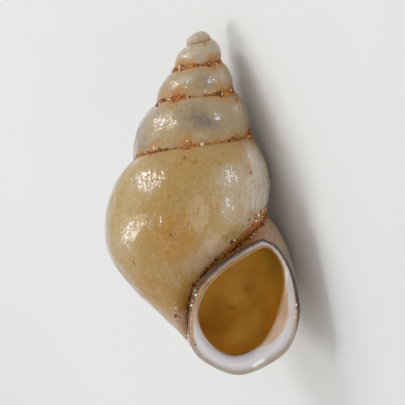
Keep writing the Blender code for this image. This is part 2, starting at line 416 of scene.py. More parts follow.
def hollow_centre(turn):
    """Middle of the whorl's hollow, as radius and depth."""
    radius = radius_at(turn)
    depth = periphery_depth(turn)
    across_share, depth_share = HOLLOW_CENTRE
    return np.array([across_share * radius, depth + depth_share * (base_depth(turn) - depth)])


def hollow_ring(turn):
    """Outline of the hollow in a whorl: inside its wall and outside the whorl before it."""
    radius = radius_at(turn)
    wall = WALL + WALL_PER_RADIUS * radius
    outer = offset(whole_profile(turn), -wall)
    inner = offset(whole_profile(turn - 1.0), GLAZE)
    column = COLUMELLA * radius
    top, bottom = 0.0, base_depth(turn) + 1.0
    axis = np.array([[column, top], [column, bottom]])
    return seen_from(hollow_centre(turn), [outer, inner, axis], RING_POINTS)


def smooth_loop(points, per_span):
    """A closed Catmull-Rom curve through given points."""
    points = np.array(points)
    loop = []
    for index in range(len(points)):
        a, b, c, d = (points[(index + k) % len(points)] for k in (-1, 0, 1, 2))
        for step in range(per_span):
            t = step / per_span
            loop.append(
                0.5 * (2 * b + (c - a) * t + (2 * a - 5 * b + 4 * c - d) * t**2
                       + (3 * b - a - 3 * c + d) * t**3)
            )
    return np.array(loop + [loop[0]])


def lip_forward(flat):
    """How far the crest of the lip stands forward at points given as across and depth."""
    return LIP_FORWARD - LIP_SLANT * flat[:, 0] - LIP_TILT * (flat[:, 1] - LIP_TOP)


def stood(flat, forward):
    """Points in the shell's own frame from (across, depth) and how far they stand forward."""
    return np.stack([flat[:, 0], -forward, -flat[:, 1]], axis=-1)


def root_outline():
    """Outline of the tube where it leaves the coil, closed along the inside of the body."""
    profile = offset(whole_profile(TURNS), ROOT_OUTSET)
    return [profile, np.array([profile[-1], *ROOT_INSIDE, profile[0]])]


def ease(share):
    return share * share * (3 - 2 * share)


def lip_fall(share):
    """How far the lip falls back behind its crest, from its outer edge (0) to the opening (1)."""
    if share < CREST_SHARE:
        out = 1 - share / CREST_SHARE
        return LIP_ROUND_OUT * (1 - math.sqrt(max(0.0, 1 - out**2)))
    into = (share - CREST_SHARE) / (1 - CREST_SHARE)
    return LIP_ROUND_IN * (1 - math.sqrt(max(0.0, 1 - into**2)))


def mouth_outlines(count):
    """The lip's outer edge and its opening, each as points given by across and depth."""
    centre = np.array(LIP_CENTRE)
    edge = seen_from(centre, [smooth_loop(OUTER_LIP + INNER_LIP, LIP_STEPS)], count)
    opening = seen_from(centre, [smooth_loop(OPENING, LIP_STEPS)], count)
    return edge, opening


def mouth_rings():
    """Rings of the tube from inside the body to the lip, over its rounded front and in."""
    centre_root = hollow_centre(TURNS)
    root = seen_from(centre_root, root_outline(), LIP_POINTS)
    edge, opening = mouth_outlines(LIP_POINTS)
    behind = centre_root + (root - centre_root) * (1 - LIP_ROOT_INSET)
    rings = [stood(behind, np.full(LIP_POINTS, -LIP_ROOT_BEHIND))]
    slots = [MOUTH]
    for row in range(LIP_ROWS + 1):
        share = row / LIP_ROWS
        flat = root + (edge - root) * ease(share)
        rings.append(stood(flat, (lip_forward(flat) - lip_fall(0.0)) * share))
        slots.append(MOUTH if row < LIP_ROWS else LIP)
    for row in range(1, FRONT_ROWS + 1):
        share = 0.5 - 0.5 * math.cos(math.pi * row / FRONT_ROWS)
        flat = edge + (opening - edge) * share
        rings.append(stood(flat, lip_forward(flat) - lip_fall(share)))
        slots.append(LIP)
    inner = np.array(LIP_CENTRE) + (opening - np.array(LIP_CENTRE)) * LIP_BACK_SHARE
    rings.append(stood(inner, lip_forward(inner) - LIP_ROUND_IN))
    return rings, slots


def body_radius(angle, depth):
    """Radius of the coil's own surface under the lip, at an angle just past its end."""
    turn = TURNS - 1.0 - angle / math.tau
    profile = whole_profile(turn)
    depths = np.maximum.accumulate(profile[:, 1])
    return float(np.interp(depth, depths, profile[:, 0], right=0.0))


def clear_of_body(ring):
    """Points pushed sideways until they clear the whorl behind the inner lip."""
    for point in ring:
        for _ in range(CLEARING_STEPS):
            angle = math.atan2(point[1], point[0])
            if angle > 0 or angle < -math.pi / 2:
                break
            reach = body_radius(angle, -point[2]) + GLAZE
            if math.hypot(point[0], point[1]) >= reach or reach <= abs(point[1]):
                break
            point[0] = math.sqrt(reach**2 - point[1] ** 2)
    return ring


def hollow_rings():
    """Rings of the hollow from near the apex to just past the lip."""
    rings = []
    first = round(HOLLOW_FROM_TURN * HOLLOW_STEPS_PER_TURN)
    steps = round(TURNS * HOLLOW_STEPS_PER_TURN)
    for step in range(first, steps + 1):
        turn = step / HOLLOW_STEPS_PER_TURN
        ring = hollow_ring(turn)
        centre = hollow_centre(turn)
        tip = min(1.0, (step - first + 1) / (HOLLOW_TIP_TURNS * HOLLOW_STEPS_PER_TURN))
        ring = centre + (ring - centre) * math.sqrt(tip)
        rings.append(turned(ring, azimuth(turn)))
    root = hollow_ring(TURNS)
    edge, opening = mouth_outlines(RING_POINTS)
    mouth = opening + (edge - opening) * MOUTH_OUTSET
    last = LIP_ROWS // 2
    for row in range(1, last + 3):
        share = row / last
        flat = root + (mouth - root) * ease(min(share, 1.0))
        forward = (lip_forward(flat) - LIP_ROUND_IN) * min(share, 1.0) + max(share - 1.0, 0.0) * PAST_LIP
        rings.append(clear_of_body(stood(flat, forward)))
    return rings


def loft_mesh(rings, slots):
    count = len(rings[0])
    vertices = list(np.concatenate(rings))
    faces = [list(range(count))[::-1]]
    face_slots = [slots[0]]
    for row in range(len(rings) - 1):
        base = row * count
        for index in range(count):
            after = (index + 1) % count
            faces.append([base + index, base + after, base + count + after, base + count + index])
            face_slots.append(slots[row])
    last = (len(rings) - 1) * count
    faces.append([last + index for index in range(count)])
    face_slots.append(slots[-1])
    return vertices, faces, face_slots


# --- objects and their place


def add_object(name, data):
    obj = bpy.data.objects.new(name, data)
    bpy.context.scene.collection.objects.link(obj)
    return obj


def closed_object(name, vertices, faces, slots, materials):
    """A mesh object with its faces turned outwards."""
    mesh = bpy.data.meshes.new(name)
    mesh.from_pydata([tuple(float(v) * MM for v in point) for point in vertices], [], faces)
    for material in materials:
        mesh.materials.append(material)
    mesh.polygons.foreach_set("material_index", slots)
    work = bmesh.new()
    work.from_mesh(mesh)
    bmesh.ops.recalc_face_normals(work, faces=work.faces)
    if work.calc_volume(signed=True) < 0:
        bmesh.ops.reverse_faces(work, faces=work.faces)
    work.to_mesh(mesh)
    work.free()
    return add_object(name, mesh)


def combine(obj, other, operation):
    modifier = obj.modifiers.new(operation.title(), "BOOLEAN")
    modifier.operation = operation
    modifier.solver = "MANIFOLD"
    modifier.object = other


def apply_modifiers(obj):
    graph = bpy.context.evaluated_depsgraph_get()
    mesh = bpy.data.meshes.new_from_object(obj.evaluated_get(graph))
    if not mesh.polygons:
        raise RuntimeError(f"{obj.name} came out empty")
    old = obj.data
    obj.modifiers.clear()
    obj.data = mesh
    mesh.name = obj.name
    bpy.data.meshes.remove(old)


def weld(mesh):
    """Takes out the slivers that the Booleans leave, and any two faces folded onto each other."""
    work = bmesh.new()
    work.from_mesh(mesh)
    bmesh.ops.remove_doubles(work, verts=work.verts, dist=SLIVER)
    bmesh.ops.dissolve_degenerate(work, edges=work.edges, dist=SLIVER)
    bmesh.ops.triangulate(work, faces=[face for face in work.faces if len(face.verts) > 3])
    alike = {}
    for face in work.faces:
        alike.setdefault(frozenset(face.verts), []).append(face)
    folded = [face for faces in alike.values() if len(faces) > 1 for face in faces]
    bmesh.ops.delete(work, geom=folded, context="FACES_ONLY")
    loose = [edge for edge in work.edges if not edge.link_faces]
    bmesh.ops.delete(work, geom=loose, context="EDGES")
    loose = [vert for vert in work.verts if not vert.link_edges]
    bmesh.ops.delete(work, geom=loose, context="VERTS")
    work.to_mesh(mesh)
    work.free()


def remove_object(obj):
    mesh = obj.data
    bpy.data.objects.remove(obj)
    bpy.data.meshes.remove(mesh)


def mesh_points(mesh):
    points = np.empty(len(mesh.vertices) * 3, np.float32)
    mesh.vertices.foreach_get("co", points)
    return points.reshape(-1, 3).astype(float) / MM


def vertex_normals(mesh):
    normals = np.empty(len(mesh.vertices) * 3, np.float32)
    mesh.vertex_normals.foreach_get("vector", normals)
    return normals.reshape(-1, 3).astype(float)


def rest_turn():
    """Rotation that lays the shell's own frame down, apex towards +Y."""
    dip = Matrix.Rotation(-math.pi / 2 - REST_DIP, 4, "X")
    roll = Matrix.Rotation(math.pi / 2 - REST_SIDE, 4, "Z")
    return dip @ roll


def rest_place(points):
    """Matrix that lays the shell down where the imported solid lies."""
    rest = rest_turn()
    laid = (points * MM) @ np.array(rest.to_3x3()).T
    low, high = laid.min(axis=0), laid.max(axis=0)
    cad_low, cad_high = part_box("shell")
    middle = (Vector(cad_low) + Vector(cad_high)) / 2
    shift = Vector((middle.x - (low[0] + high[0]) / 2, middle.y - (low[1] + high[1]) / 2, 0.0))
    shift.z = cad_low[2] - low[2]
    return Matrix.Translation(shift) @ rest


# --- where each point lies

# Farthest place forward on the lip, least height of a whorl, and farthest place across one.
MOST_FORWARD = 1.1
LEAST_HEIGHT = 0.05
MOST_SIDE = 2.0
# Relief: waves in a turn and across a whorl for the growth lines, and in a millimetre for the
# dents and wrinkles. It fades towards the seams, the lip and the first turns.
GROWTH_WAVES = (7.0, 0.35)
DENT_WAVES = 2.6
WRINKLE_WAVES = 6.5
RELIEF_FADE = 0.08
RELIEF_FULL_TURN = 2.0
LEAST_RELIEF = 0.15


def nearest(points, targets):
    """Distance from each point to the nearest target, and which target that is."""
    tree = KDTree(len(targets))
    for index, target in enumerate(targets):
        tree.insert(target, index)
    tree.balance()
    found = [tree.find(point)[1:] for point in points]
    return np.array([distance for _, distance in found]), [index for index, _ in found]


def growth_place(points, in_mouth):
    """Turn and share across the whorl of points on the outside."""
    angle = np.mod(np.arctan2(points[:, 1], points[:, 0]), math.tau)
    depth = -points[:, 2]
    turn = TURNS - angle / math.tau
    found = turn.copy()
    for back in range(1, math.ceil(TURNS) + 1):
        earlier = depth < suture_depth(found) - SEAM_SLACK
        found = np.where(earlier, turn - back, found)
    turn = np.maximum(found, 0.0)
    flat = np.stack([points[:, 0], depth], axis=-1)
    forward = np.clip(-points[:, 1] / lip_forward(flat), 0.0, MOST_FORWARD)
    turn = np.where(in_mouth, TURNS + LIP_TURNS * forward, turn)
    height = suture_depth(turn + 1.0) - suture_depth(turn)
    side = (depth - suture_depth(turn)) / np.maximum(height, LEAST_HEIGHT)
    return turn, np.clip(side, 0.0, MOST_SIDE)


def seam_line():
    turns = np.arange(SEAM_FROM_TURN, TURNS, SEAM_STEP)
    return [turned(suture_point(turn), azimuth(turn)) for turn in turns]


def slot_vertices(mesh, wanted):
    inside = np.zeros(len(mesh.vertices), bool)
    for polygon in mesh.polygons:
        if polygon.material_index in wanted:
            inside[list(polygon.vertices)] = True
    return inside


def smooth_noise(points, scale, seed):
    """Soft bumps between about -1 and 1, made of a few dozen waves."""
    rng = np.random.default_rng(seed)
    total = np.zeros(len(points))
    for _ in range(NOISE_WAVES):
        direction = rng.normal(size=points.shape[1])
        direction *= scale * rng.uniform(0.6, 1.5) / np.linalg.norm(direction)
        total += np.sin(points @ direction * math.tau + rng.uniform(0, math.tau))
    return total / math.sqrt(NOISE_WAVES)


def add_attribute(mesh, name, values):
    attribute = mesh.attributes.new(name, "FLOAT", "POINT")
    attribute.data.foreach_set("value", np.asarray(values, np.float32))


def add_relief(mesh, sizes, turn, side, seam, lip, outside):
    """Low growth ridges and shallow dents, moved along the normals of the outside."""
    points = mesh_points(mesh)
    normals = vertex_normals(mesh)
    growth = np.stack([turn, side], axis=-1) * GROWTH_WAVES
    lines = smooth_noise(growth, 1.0, 3) * sizes.growth_line_height / MM
    dents = smooth_noise(points, DENT_WAVES, 5) * sizes.dent_depth / MM
    dents += smooth_noise(points, WRINKLE_WAVES, 7) * sizes.wrinkle_height / MM
    fade = np.clip(seam / RELIEF_FADE, 0, 1) * np.clip(lip / RELIEF_FADE, 0, 1) * outside
    fade *= np.clip(turn / RELIEF_FULL_TURN, LEAST_RELIEF, 1.0)
    moved = (points + normals * ((lines + dents) * fade)[:, None]) * MM
    mesh.vertices.foreach_set("co", moved.astype(np.float32).ravel())
    mesh.update()


# Stains and patches, as (turn, share across the whorl, turns wide, share wide, strength).
AMBER_STAINS = (
    (4.66, 0.95, 0.045, 0.24, 1.5), (4.7, 0.72, 0.04, 0.18, 0.5), (4.79, 1.18, 0.06, 0.18, 1.2),
    (4.64, 0.2, 0.08, 0.12, 0.35), (4.56, 0.15, 0.06, 0.09, 0.3), (4.6, 0.62, 0.03, 0.3, 0.5),
    (4.5, 0.33, 0.01, 0.06, 0.6), (4.47, 0.55, 0.01, 0.06, 0.4), (4.7, 0.4, 0.06, 0.1, 0.3),
    (3.65, 0.8, 0.08, 0.2, 0.35), (2.62, 0.7, 0.08, 0.25, 0.35), (4.15, 0.6, 0.06, 0.3, 0.7),
    (4.3, 1.0, 0.05, 0.25, 0.8), (4.05, 1.2, 0.06, 0.2, 0.6), (5.15, 0.45, 0.05, 0.25, 0.7),
    (4.95, 0.8, 0.07, 0.3, 0.6), (3.25, 0.5, 0.05, 0.3, 0.5),
)
GREY_PATCHES = (
    (3.64, 0.38, 0.036, 0.2, 0.8), (3.598, 0.53, 0.03, 0.14, 1.0), (3.57, 0.62, 0.02, 0.1, 0.5),
    (2.59, 0.45, 0.04, 0.2, 0.5), (3.83, 0.45, 0.04, 0.34, 0.8), (3.8, 0.85, 0.026, 0.18, 0.8),
    (2.6, 0.6, 0.03, 0.2, 0.5), (1.515, 0.62, 0.035, 0.2, 1.0), (3.13, 0.55, 0.06, 0.25, 0.8),
    (4.02, 0.4, 0.04, 0.18, 0.6),
)
# Painted highlights: whitish, sparkly patches painted on the whorls where highlights fall.
PAINTED_HIGHLIGHTS = (
    (4.55, 0.36, 0.022, 0.12, 1.0), (4.556, 0.69, 0.013, 0.09, 1.0), (4.477, 0.19, 0.008, 0.05, 1.0),
    (3.566, 0.46, 0.014, 0.09, 1.0), (3.469, 0.29, 0.01, 0.07, 1.0), (2.573, 0.51, 0.024, 0.14, 1.3),
    (2.565, 0.9, 0.045, 0.1, 1.5), (1.51, 0.5, 0.03, 0.14, 0.8), (4.75, 0.27, 0.014, 0.07, 0.6),
    (4.712, 0.36, 0.014, 0.08, 0.7), (4.69, 0.28, 0.008, 0.1, 0.4), (4.712, 0.69, 0.014, 0.07, 0.7),
    (4.778, 0.82, 0.016, 0.08, 0.7), (4.688, 0.72, 0.004, 0.06, 0.6), (4.8, 0.9, 0.01, 0.08, 0.4),
    (3.745, 0.42, 0.024, 0.12, 0.6), (2.692, 0.43, 0.03, 0.14, 0.6), (1.731, 0.56, 0.04, 0.16, 0.5),
    (3.69, 0.48, 0.012, 0.08, 0.7), (0.8, 0.5, 0.2, 0.4, 0.6),
)
# Pale patches, partly the shell's own milky colour and partly painted light: painted highlight round the
# highlight patches, and painted light on the shaded right edge of the last whorl.
PALE_AND_PAINTED_LIGHT_PATCHES = (
    (4.49, 0.62, 0.06, 0.36, 1.3), (4.445, 0.6, 0.03, 0.4, 1.0), (4.56, 0.4, 0.03, 0.16, 0.9),
    (4.735, 0.3, 0.035, 0.16, 0.8), (4.559, 0.69, 0.016, 0.1, 0.9), (4.47, 0.22, 0.02, 0.12, 0.9),
    (3.566, 0.46, 0.012, 0.1, 0.9), (3.469, 0.32, 0.03, 0.2, 0.9), (2.5, 0.45, 0.04, 0.3, 0.8),
    (4.765, 0.72, 0.03, 0.16, 0.8), (3.79, 0.7, 0.04, 0.3, 0.5), (3.735, 0.42, 0.03, 0.2, 0.6),
    (2.69, 0.4, 0.04, 0.25, 0.7), (2.56, 0.45, 0.03, 0.25, 0.6), (1.7, 0.5, 0.06, 0.4, 0.8),
    (1.3, 0.5, 0.3, 0.6, 0.7), (4.2, 0.3, 0.06, 0.2, 0.7), (4.0, 0.7, 0.05, 0.25, 0.8),
    (5.25, 0.6, 0.05, 0.3, 0.7), (3.35, 0.5, 0.05, 0.35, 0.7),
)


# Patches of the front and of the inside, as (across, depth, width, height, strength), in
# millimetres apart from the strength.
FRONT_STAINS = (
    (-0.03, 3.72, 0.08, 0.09, 0.9), (-0.09, 3.88, 0.08, 0.1, 1.2), (-0.11, 4.02, 0.08, 0.12, 1.6),
    (-0.42, 3.78, 0.22, 0.22, 0.6), (-0.2, 3.55, 0.16, 0.2, 0.6), (-0.3, 4.0, 0.1, 0.12, 0.5),
    (0.05, 3.56, 0.06, 0.07, 0.7), (0.6, 2.92, 0.1, 0.06, 0.5), (0.85, 2.66, 0.08, 0.08, 0.8),
)
INSIDE_STAINS = (
    (0.3, 4.35, 0.28, 0.3, 0.75), (0.648, 4.075, 0.025, 0.06, 0.8), (0.825, 3.765, 0.06, 0.07, 0.5),
    (1.14, 4.2, 0.1, 0.3, 0.35), (0.7, 4.62, 0.3, 0.14, 0.15), (0.45, 4.05, 0.12, 0.2, 0.4),
    (1.05, 4.33, 0.02, 0.03, 0.8),
)
# Paler patches on the front beside the lip and the groove: partly their own paler colour, partly painted
# light where the lip's shade falls.
FRONT_PALE_AND_PAINTED_LIGHT = (
    (-0.1, 4.38, 0.14, 0.2, 0.6), (0.1, 4.75, 0.1, 0.1, 0.7), (0.3, 3.15, 0.2, 0.2, 0.8),
    (0.02, 3.45, 0.15, 0.2, 0.7), (0.62, 2.72, 0.2, 0.15, 0.6),
)
ROSY_PATCHES = (
    (-0.14, 4.2, 0.16, 0.14, 0.9), (0.0, 4.42, 0.16, 0.2, 1.0), (0.1, 4.7, 0.14, 0.16, 0.9),
    (-0.4, 4.1, 0.1, 0.12, 0.4), (0.42, 3.14, 0.2, 0.12, 0.7), (0.14, 3.42, 0.16, 0.16, 0.7),
    (1.3, 2.9, 0.24, 0.3, 0.8), (1.5, 3.4, 0.14, 0.4, 0.8),
)
# How far back the rosy patches reach, in millimetres.
ROSY_REACH = 0.3
# Painted highlights on the lip: near-white patches along its crest where a highlight falls.
LIP_PAINTED_HIGHLIGHTS = (
    (0.985, 4.865, 0.03, 0.018, 0.9), (1.02, 4.84, 0.03, 0.018, 0.9), (1.055, 4.815, 0.03, 0.018, 0.9),
    (1.09, 4.79, 0.03, 0.018, 0.9), (1.12, 4.765, 0.026, 0.018, 0.6), (1.4, 3.5, 0.03, 0.1, 0.4),
)
# Painted glow inside the opening near the outer lip, lighting its shaded side.
INSIDE_PAINTED_GLOW = (
    (1.26, 3.7, 0.16, 0.5, 0.8), (1.1, 3.28, 0.25, 0.16, 1.0), (1.36, 3.35, 0.18, 0.3, 1.0),
    (1.2, 3.45, 0.14, 0.24, 1.0),
)


def patches(first, second, places):
    """Strength of soft patches at points given by two coordinates."""
    total = np.zeros(len(first))
    for at_first, at_second, wide, high, strength in places:
        away = ((first - at_first) / wide) ** 2 + ((second - at_second) / high) ** 2
        total += strength * np.exp(-away)
    return np.clip(total, 0, 1)


# The lip's bands by the way round it: degrees from the right through the bottom, where the
# white enamel starts and ends across the lip, how much white, lavender and dark skin there is,
# and how far the skin reaches from the lip's edge, in millimetres.
LIP_BANDS = (
    (0, 0.18, 0.5, 0.75, 0.0, 1.0, 0.06), (20, 0.18, 0.54, 0.9, 0.0, 0.4, 0.045),
    (45, 0.26, 0.66, 0.95, 0.0, 0.0, 0.03), (65, 0.28, 0.9, 0.9, 0.0, 0.0, 0.03),
    (80, 0.26, 1.2, 0.85, 0.0, 0.0, 0.03), (130, 0.26, 1.2, 0.95, 0.0, 0.0, 0.03),
    (155, 0.36, 1.2, 1.0, 0.0, 0.7, 0.04), (172, 0.52, 1.2, 0.65, 0.0, 1.0, 0.055),
    (190, 0.62, 1.2, 0.2, 0.0, 1.0, 0.065), (215, 0.6, 1.2, 0.08, 0.2, 1.0, 0.075),
    (235, 0.2, 0.6, 0.05, 0.9, 1.0, 0.075), (262, 0.15, 0.7, 0.15, 1.0, 1.0, 0.075),
    (285, 0.18, 0.78, 0.6, 0.5, 1.0, 0.072), (315, 0.18, 0.75, 0.7, 0.2, 1.0, 0.076),
    (340, 0.16, 0.55, 0.7, 0.0, 1.0, 0.076),
)


def lip_place(points):
    """Share across the lip, from its outer edge (0) to its opening (1), and degrees round it."""
    centre = np.array(LIP_CENTRE)
    away = np.stack([points[:, 0], -points[:, 2]], axis=-1) - centre
    around = np.degrees(np.arctan2(away[:, 1], away[:, 0]))
    angles = 360 * np.arange(LIP_POINTS) / LIP_POINTS
    edge, opening = (
        np.interp(around, angles, np.linalg.norm(line - centre, axis=1), period=360)
        for line in mouth_outlines(LIP_POINTS)
    )
    return (edge - np.linalg.norm(away, axis=1)) / (edge - opening), around


def soft_step(value, low, high):
    return ease(np.clip((value - low) / (high - low), 0, 1))


def lip_bands(points):
    """White enamel, pink slope, lavender glaze and dark skin of the lip at each point."""
    share, around = lip_place(points)
    table = np.array(LIP_BANDS).T
    start, end, white, lavender, skin, reach = (
        np.interp(around, table[0], row, period=360) for row in table[1:]
    )
    past_end = soft_step(share, end - 0.05, end + 0.07)
    enamel = white * soft_step(share, start - 0.12, start + 0.10) * (1 - past_end)
    blush = past_end * soft_step(white, 0.6, 0.9)
    glaze = lavender * soft_step(share, 0.10, 0.26) * (1 - soft_step(share, 0.52, 0.66))
    rim = soft_step(share, 0.84, 0.94) * soft_step(np.cos(np.radians(around - 215)), -0.1, 0.4)
    around = np.radians(around)
    return {
        "enamel": enamel, "blush": blush, "glaze": glaze, "rim": rim, "skin": skin, "reach": reach,
        "across": share, "around_x": np.cos(around), "around_y": np.sin(around),
    }


# Rust in the seams, as (turn, turns wide, strength): the seam of a turn is at the whorl's top.
RUST_CLUMPS = (
    (2.44, 0.05, 0.7), (2.55, 0.06, 0.9), (2.68, 0.04, 0.5), (2.76, 0.05, 0.9), (2.85, 0.05, 0.5),
    (3.45, 0.05, 0.9), (3.53, 0.03, 0.7), (3.58, 0.03, 0.3), (3.72, 0.035, 1.0), (3.8, 0.04, 0.7),
    (4.42, 0.035, 0.9), (4.5, 0.03, 0.5), (4.56, 0.03, 0.25), (4.65, 0.022, 0.9), (4.75, 0.03, 0.6),
    (4.82, 0.03, 0.4), (5.44, 0.05, 0.6), (5.34, 0.04, 0.5),
)
RUST_FROM_TURN = 2.35
# The hidden side, from and to these parts of a turn, and how much rust its clumps hold.
HIDDEN_SIDE = (0.93, 0.38)
HIDDEN_RUST = 0.8


def rust_at(turn):
    """Strength of the rust in the seam at each turn; the far side has clumps of its own."""
    turn = np.asarray(turn, float)
    total = sum(s * np.exp(-(((turn - at) / wide) ** 2)) for at, wide, s in RUST_CLUMPS)
    part = np.mod(turn, 1.0)
    far = np.where((part > HIDDEN_SIDE[0]) | (part < HIDDEN_SIDE[1]), 1.0, 0.0)
    waves = np.sin(turn * 41.0 + 2.0 * np.sin(turn * 17.0)) * np.sin(turn * 67.0 + 1.0)
    total = total + HIDDEN_RUST * far * np.clip(waves, 0, 1)
    return np.clip(total, 0, 1) * soft_step(turn, RUST_FROM_TURN - 0.1, RUST_FROM_TURN + 0.05)


# Middle of the dirty groove between the body and the inner lip, as (across, depth, half width).
GROOVE = (
    (1.106, 2.553, 0.04), (1.037, 2.644, 0.06), (0.955, 2.78, 0.085), (0.865, 2.925, 0.085),
    (0.755, 3.03, 0.068), (0.628, 3.138, 0.056), (0.495, 3.26, 0.046), (0.358, 3.38, 0.038),
    (0.232, 3.5, 0.032), (0.112, 3.645, 0.028), (0.03, 3.796, 0.026), (-0.02, 3.96, 0.024),
    (-0.045, 4.138, 0.02),
)
GROOVE_POINTS = 240
# How far back the front's dirt reaches, and the share that stands for far from the groove.
FRONT_REACH = 0.02
FAR = 9.0
# Places of loose crumbs on the lip's skin, as (across, depth, half width).
CRUMBS = (
    (0.131, 3.717, 0.02), (0.077, 3.823, 0.02), (0.053, 3.927, 0.02), (0.029, 4.046, 0.02),
    (0.009, 4.253, 0.02), (0.01, 4.475, 0.04), (0.06, 4.664, 0.04), (0.14, 4.778, 0.03),
    (1.585, 3.95, 0.02), (1.606, 4.12, 0.02), (-0.197, 4.1, 0.012), (-0.11, 4.25, 0.025),
    (-0.13, 4.32, 0.025),
)


def groove_line():
    """Points down the middle of the groove, and half its width at each."""
    table = np.array(GROOVE)
    steps = np.linspace(0, len(table) - 1, GROOVE_POINTS)
    line = np.stack([np.interp(steps, np.arange(len(table)), column) for column in table.T], axis=-1)
    return line[:, :2], line[:, 2]


def crevice_share(points):
    """Distance of points on the front from the middle of the groove, in half widths of it."""
    line, width = groove_line()
    apart, index = nearest(points * (1, 0, 1), stood(line, np.zeros(len(line))))
    return np.where(points[:, 1] < FRONT_REACH, np.minimum(apart / width[index], FAR), FAR)


# --- finishes


# Height of a whorl, in shares of its radius, and how much wider than its radius a mark is drawn.
MARK_HEIGHT = 1.35
MARK_SPREAD = 1.25
# Small marks, as (turn, share across the whorl, radius in millimetres, strength).
ORANGE_MARKS = (
    (4.627, 0.16, 0.03, 0.9), (4.674, 0.48, 0.024, 0.8), (4.554, 1.01, 0.034, 0.9),
    (4.543, 1.04, 0.024, 0.8), (4.506, 0.96, 0.028, 0.8), (4.562, 0.12, 0.03, 0.5),
    (4.571, 0.22, 0.034, 0.5), (4.604, 0.18, 0.03, 0.4), (4.614, 1.1, 0.03, 0.5), (4.663, 1.11, 0.028, 0.5),
    (4.713, 0.3, 0.022, 0.8), (4.664, 0.89, 0.022, 0.6), (1.588, 0.11, 0.032, 1.0), (2.56, 0.13, 0.03, 0.6),
    (4.25, 0.4, 0.035, 0.7), (5.05, 0.5, 0.035, 0.6), (3.72, 0.2, 0.022, 0.6), (3.704, 0.13, 0.022, 0.6),
    (3.56, 0.93, 0.03, 0.5), (3.6, 0.95, 0.03, 0.5),
)
DARK_MARKS = (
    (4.669, 0.86, 0.018, 1.0), (4.76, 0.28, 0.02, 0.7), (4.775, 0.99, 0.018, 0.8),
    (4.774, 1.01, 0.018, 0.8), (4.816, 0.92, 0.016, 0.5), (4.493, 0.37, 0.028, 0.6),
    (4.492, 0.47, 0.024, 0.3), (4.8, 1.26, 0.022, 0.6), (4.699, 1.17, 0.014, 0.5),
    (3.712, 0.17, 0.016, 0.6), (4.05, 0.8, 0.022, 0.8), (4.35, 0.7, 0.018, 0.6),
)


# Sockets of the Mix node that mixes colours.
MIX_SHARE, MIX_FIRST, MIX_SECOND, MIX_RESULT = 0, 6, 7, 2


class Finish:
    """Builds the nodes of one material."""

    def __init__(self, name):
        self.material = bpy.data.materials.new(name)
        self.material.use_nodes = True
        self.tree = self.material.node_tree
        place = {0: self.node("TexCoord", "Object", {}), "Scale": 1 / MM}
        self.millimetres = self.node("VectorMath", "Vector", place, operation="SCALE")

    def set(self, node, socket, value):
        target = node.inputs[socket]
        if isinstance(value, bpy.types.NodeSocket):
            self.tree.links.new(value, target)
        elif target.type == "RGBA":
            target.default_value = (*tuple(value)[:3], 1.0)
        else:
            target.default_value = value

    def node(self, kind, output, inputs, **settings):
        """One output of a new node with the settings and inputs given."""
        node = self.tree.nodes.new("ShaderNode" + kind)
        for name, value in settings.items():
            setattr(node, name, value)
        for socket, value in inputs.items():
            self.set(node, socket, value)
        return node.outputs[output]

    def attribute(self, name):
        return self.node("Attribute", "Fac", {}, attribute_name=name)

    def math(self, operation, *values):
        return self.node("Math", "Value", dict(enumerate(values)), operation=operation)

    def times(self, *values):
        total = values[0]
        for value in values[1:]:
            total = self.math("MULTIPLY", total, value)
        return total

    def swing(self, pattern, size):
        """A pattern made to swing about zero, by half the size to each side."""
        return self.times(self.math("SUBTRACT", pattern, 0.5), size)

    def along(self, *values):
        return self.node("CombineXYZ", "Vector", dict(enumerate(values)))

    def noise(self, vector, scale, detail=2.0, roughness=0.5, distortion=0.0):
        inputs = {"Vector": vector, "Scale": scale, "Detail": detail, "Roughness": roughness}
        return self.node("TexNoise", "Fac", {**inputs, "Distortion": distortion})

    def between(self, value, low, high, start=0.0, end=1.0):
        """Smooth step: start below low, end above high."""
        inputs = {"Value": value, "From Min": low, "From Max": high, "To Min": start, "To Max": end}
        return self.node("MapRange", "Result", inputs, interpolation_type="SMOOTHSTEP")

    def marks(self, turn, side, shift, places):
        """Small marks at (turn, share across the whorl, radius in millimetres, strength)."""
        place = self.along(turn, side, 0.0)
        total = 0.0
        for at_turn, at_side, radius, strength in places:
            size = radius_at(at_turn) / (MARK_SPREAD * radius)
            scale = (math.tau * size, MARK_HEIGHT * size, 0.0)
            spread = self.node("VectorMath", "Vector", {0: place, 1: scale}, operation="MULTIPLY")
            middle = (at_turn * scale[0], at_side * scale[1], 0.0)
            away = self.node("VectorMath", "Value", {0: spread, 1: middle}, operation="DISTANCE")
            mark = self.between(self.math("ADD", away, shift), 0.6, 1.2, strength, 0.0)
            total = self.math("MAXIMUM", total, mark)
        return total

    def blend(self, share, first, second):
        inputs = {MIX_SHARE: share, MIX_FIRST: first, MIX_SECOND: second}
        return self.node("Mix", MIX_RESULT, inputs, data_type="RGBA", clamp_factor=True)

    def tint(self, colour, *layers):
        """Lays colours over a first one, each to its share where its pattern passes from low to high."""
        for pattern, low, high, share, over in layers:
            colour = self.blend(self.between(pattern, low, high, 0.0, share), colour, over)
        return colour

    def bump(self, height, distance, strength=1.0, over=None):
        """Relief of height times distance, in metres, over an earlier relief."""
        inputs = {"Height": height, "Distance": distance, "Strength": strength}
        if over is not None:
            inputs["Normal"] = over
        return self.node("Bump", "Normal", inputs)

    def finish(self, **sockets):
        surface = self.tree.nodes["Principled BSDF"]
        for name, value in sockets.items():
            self.set(surface, name.replace("_", " ").title().replace("Ior", "IOR"), value)
        return self.material


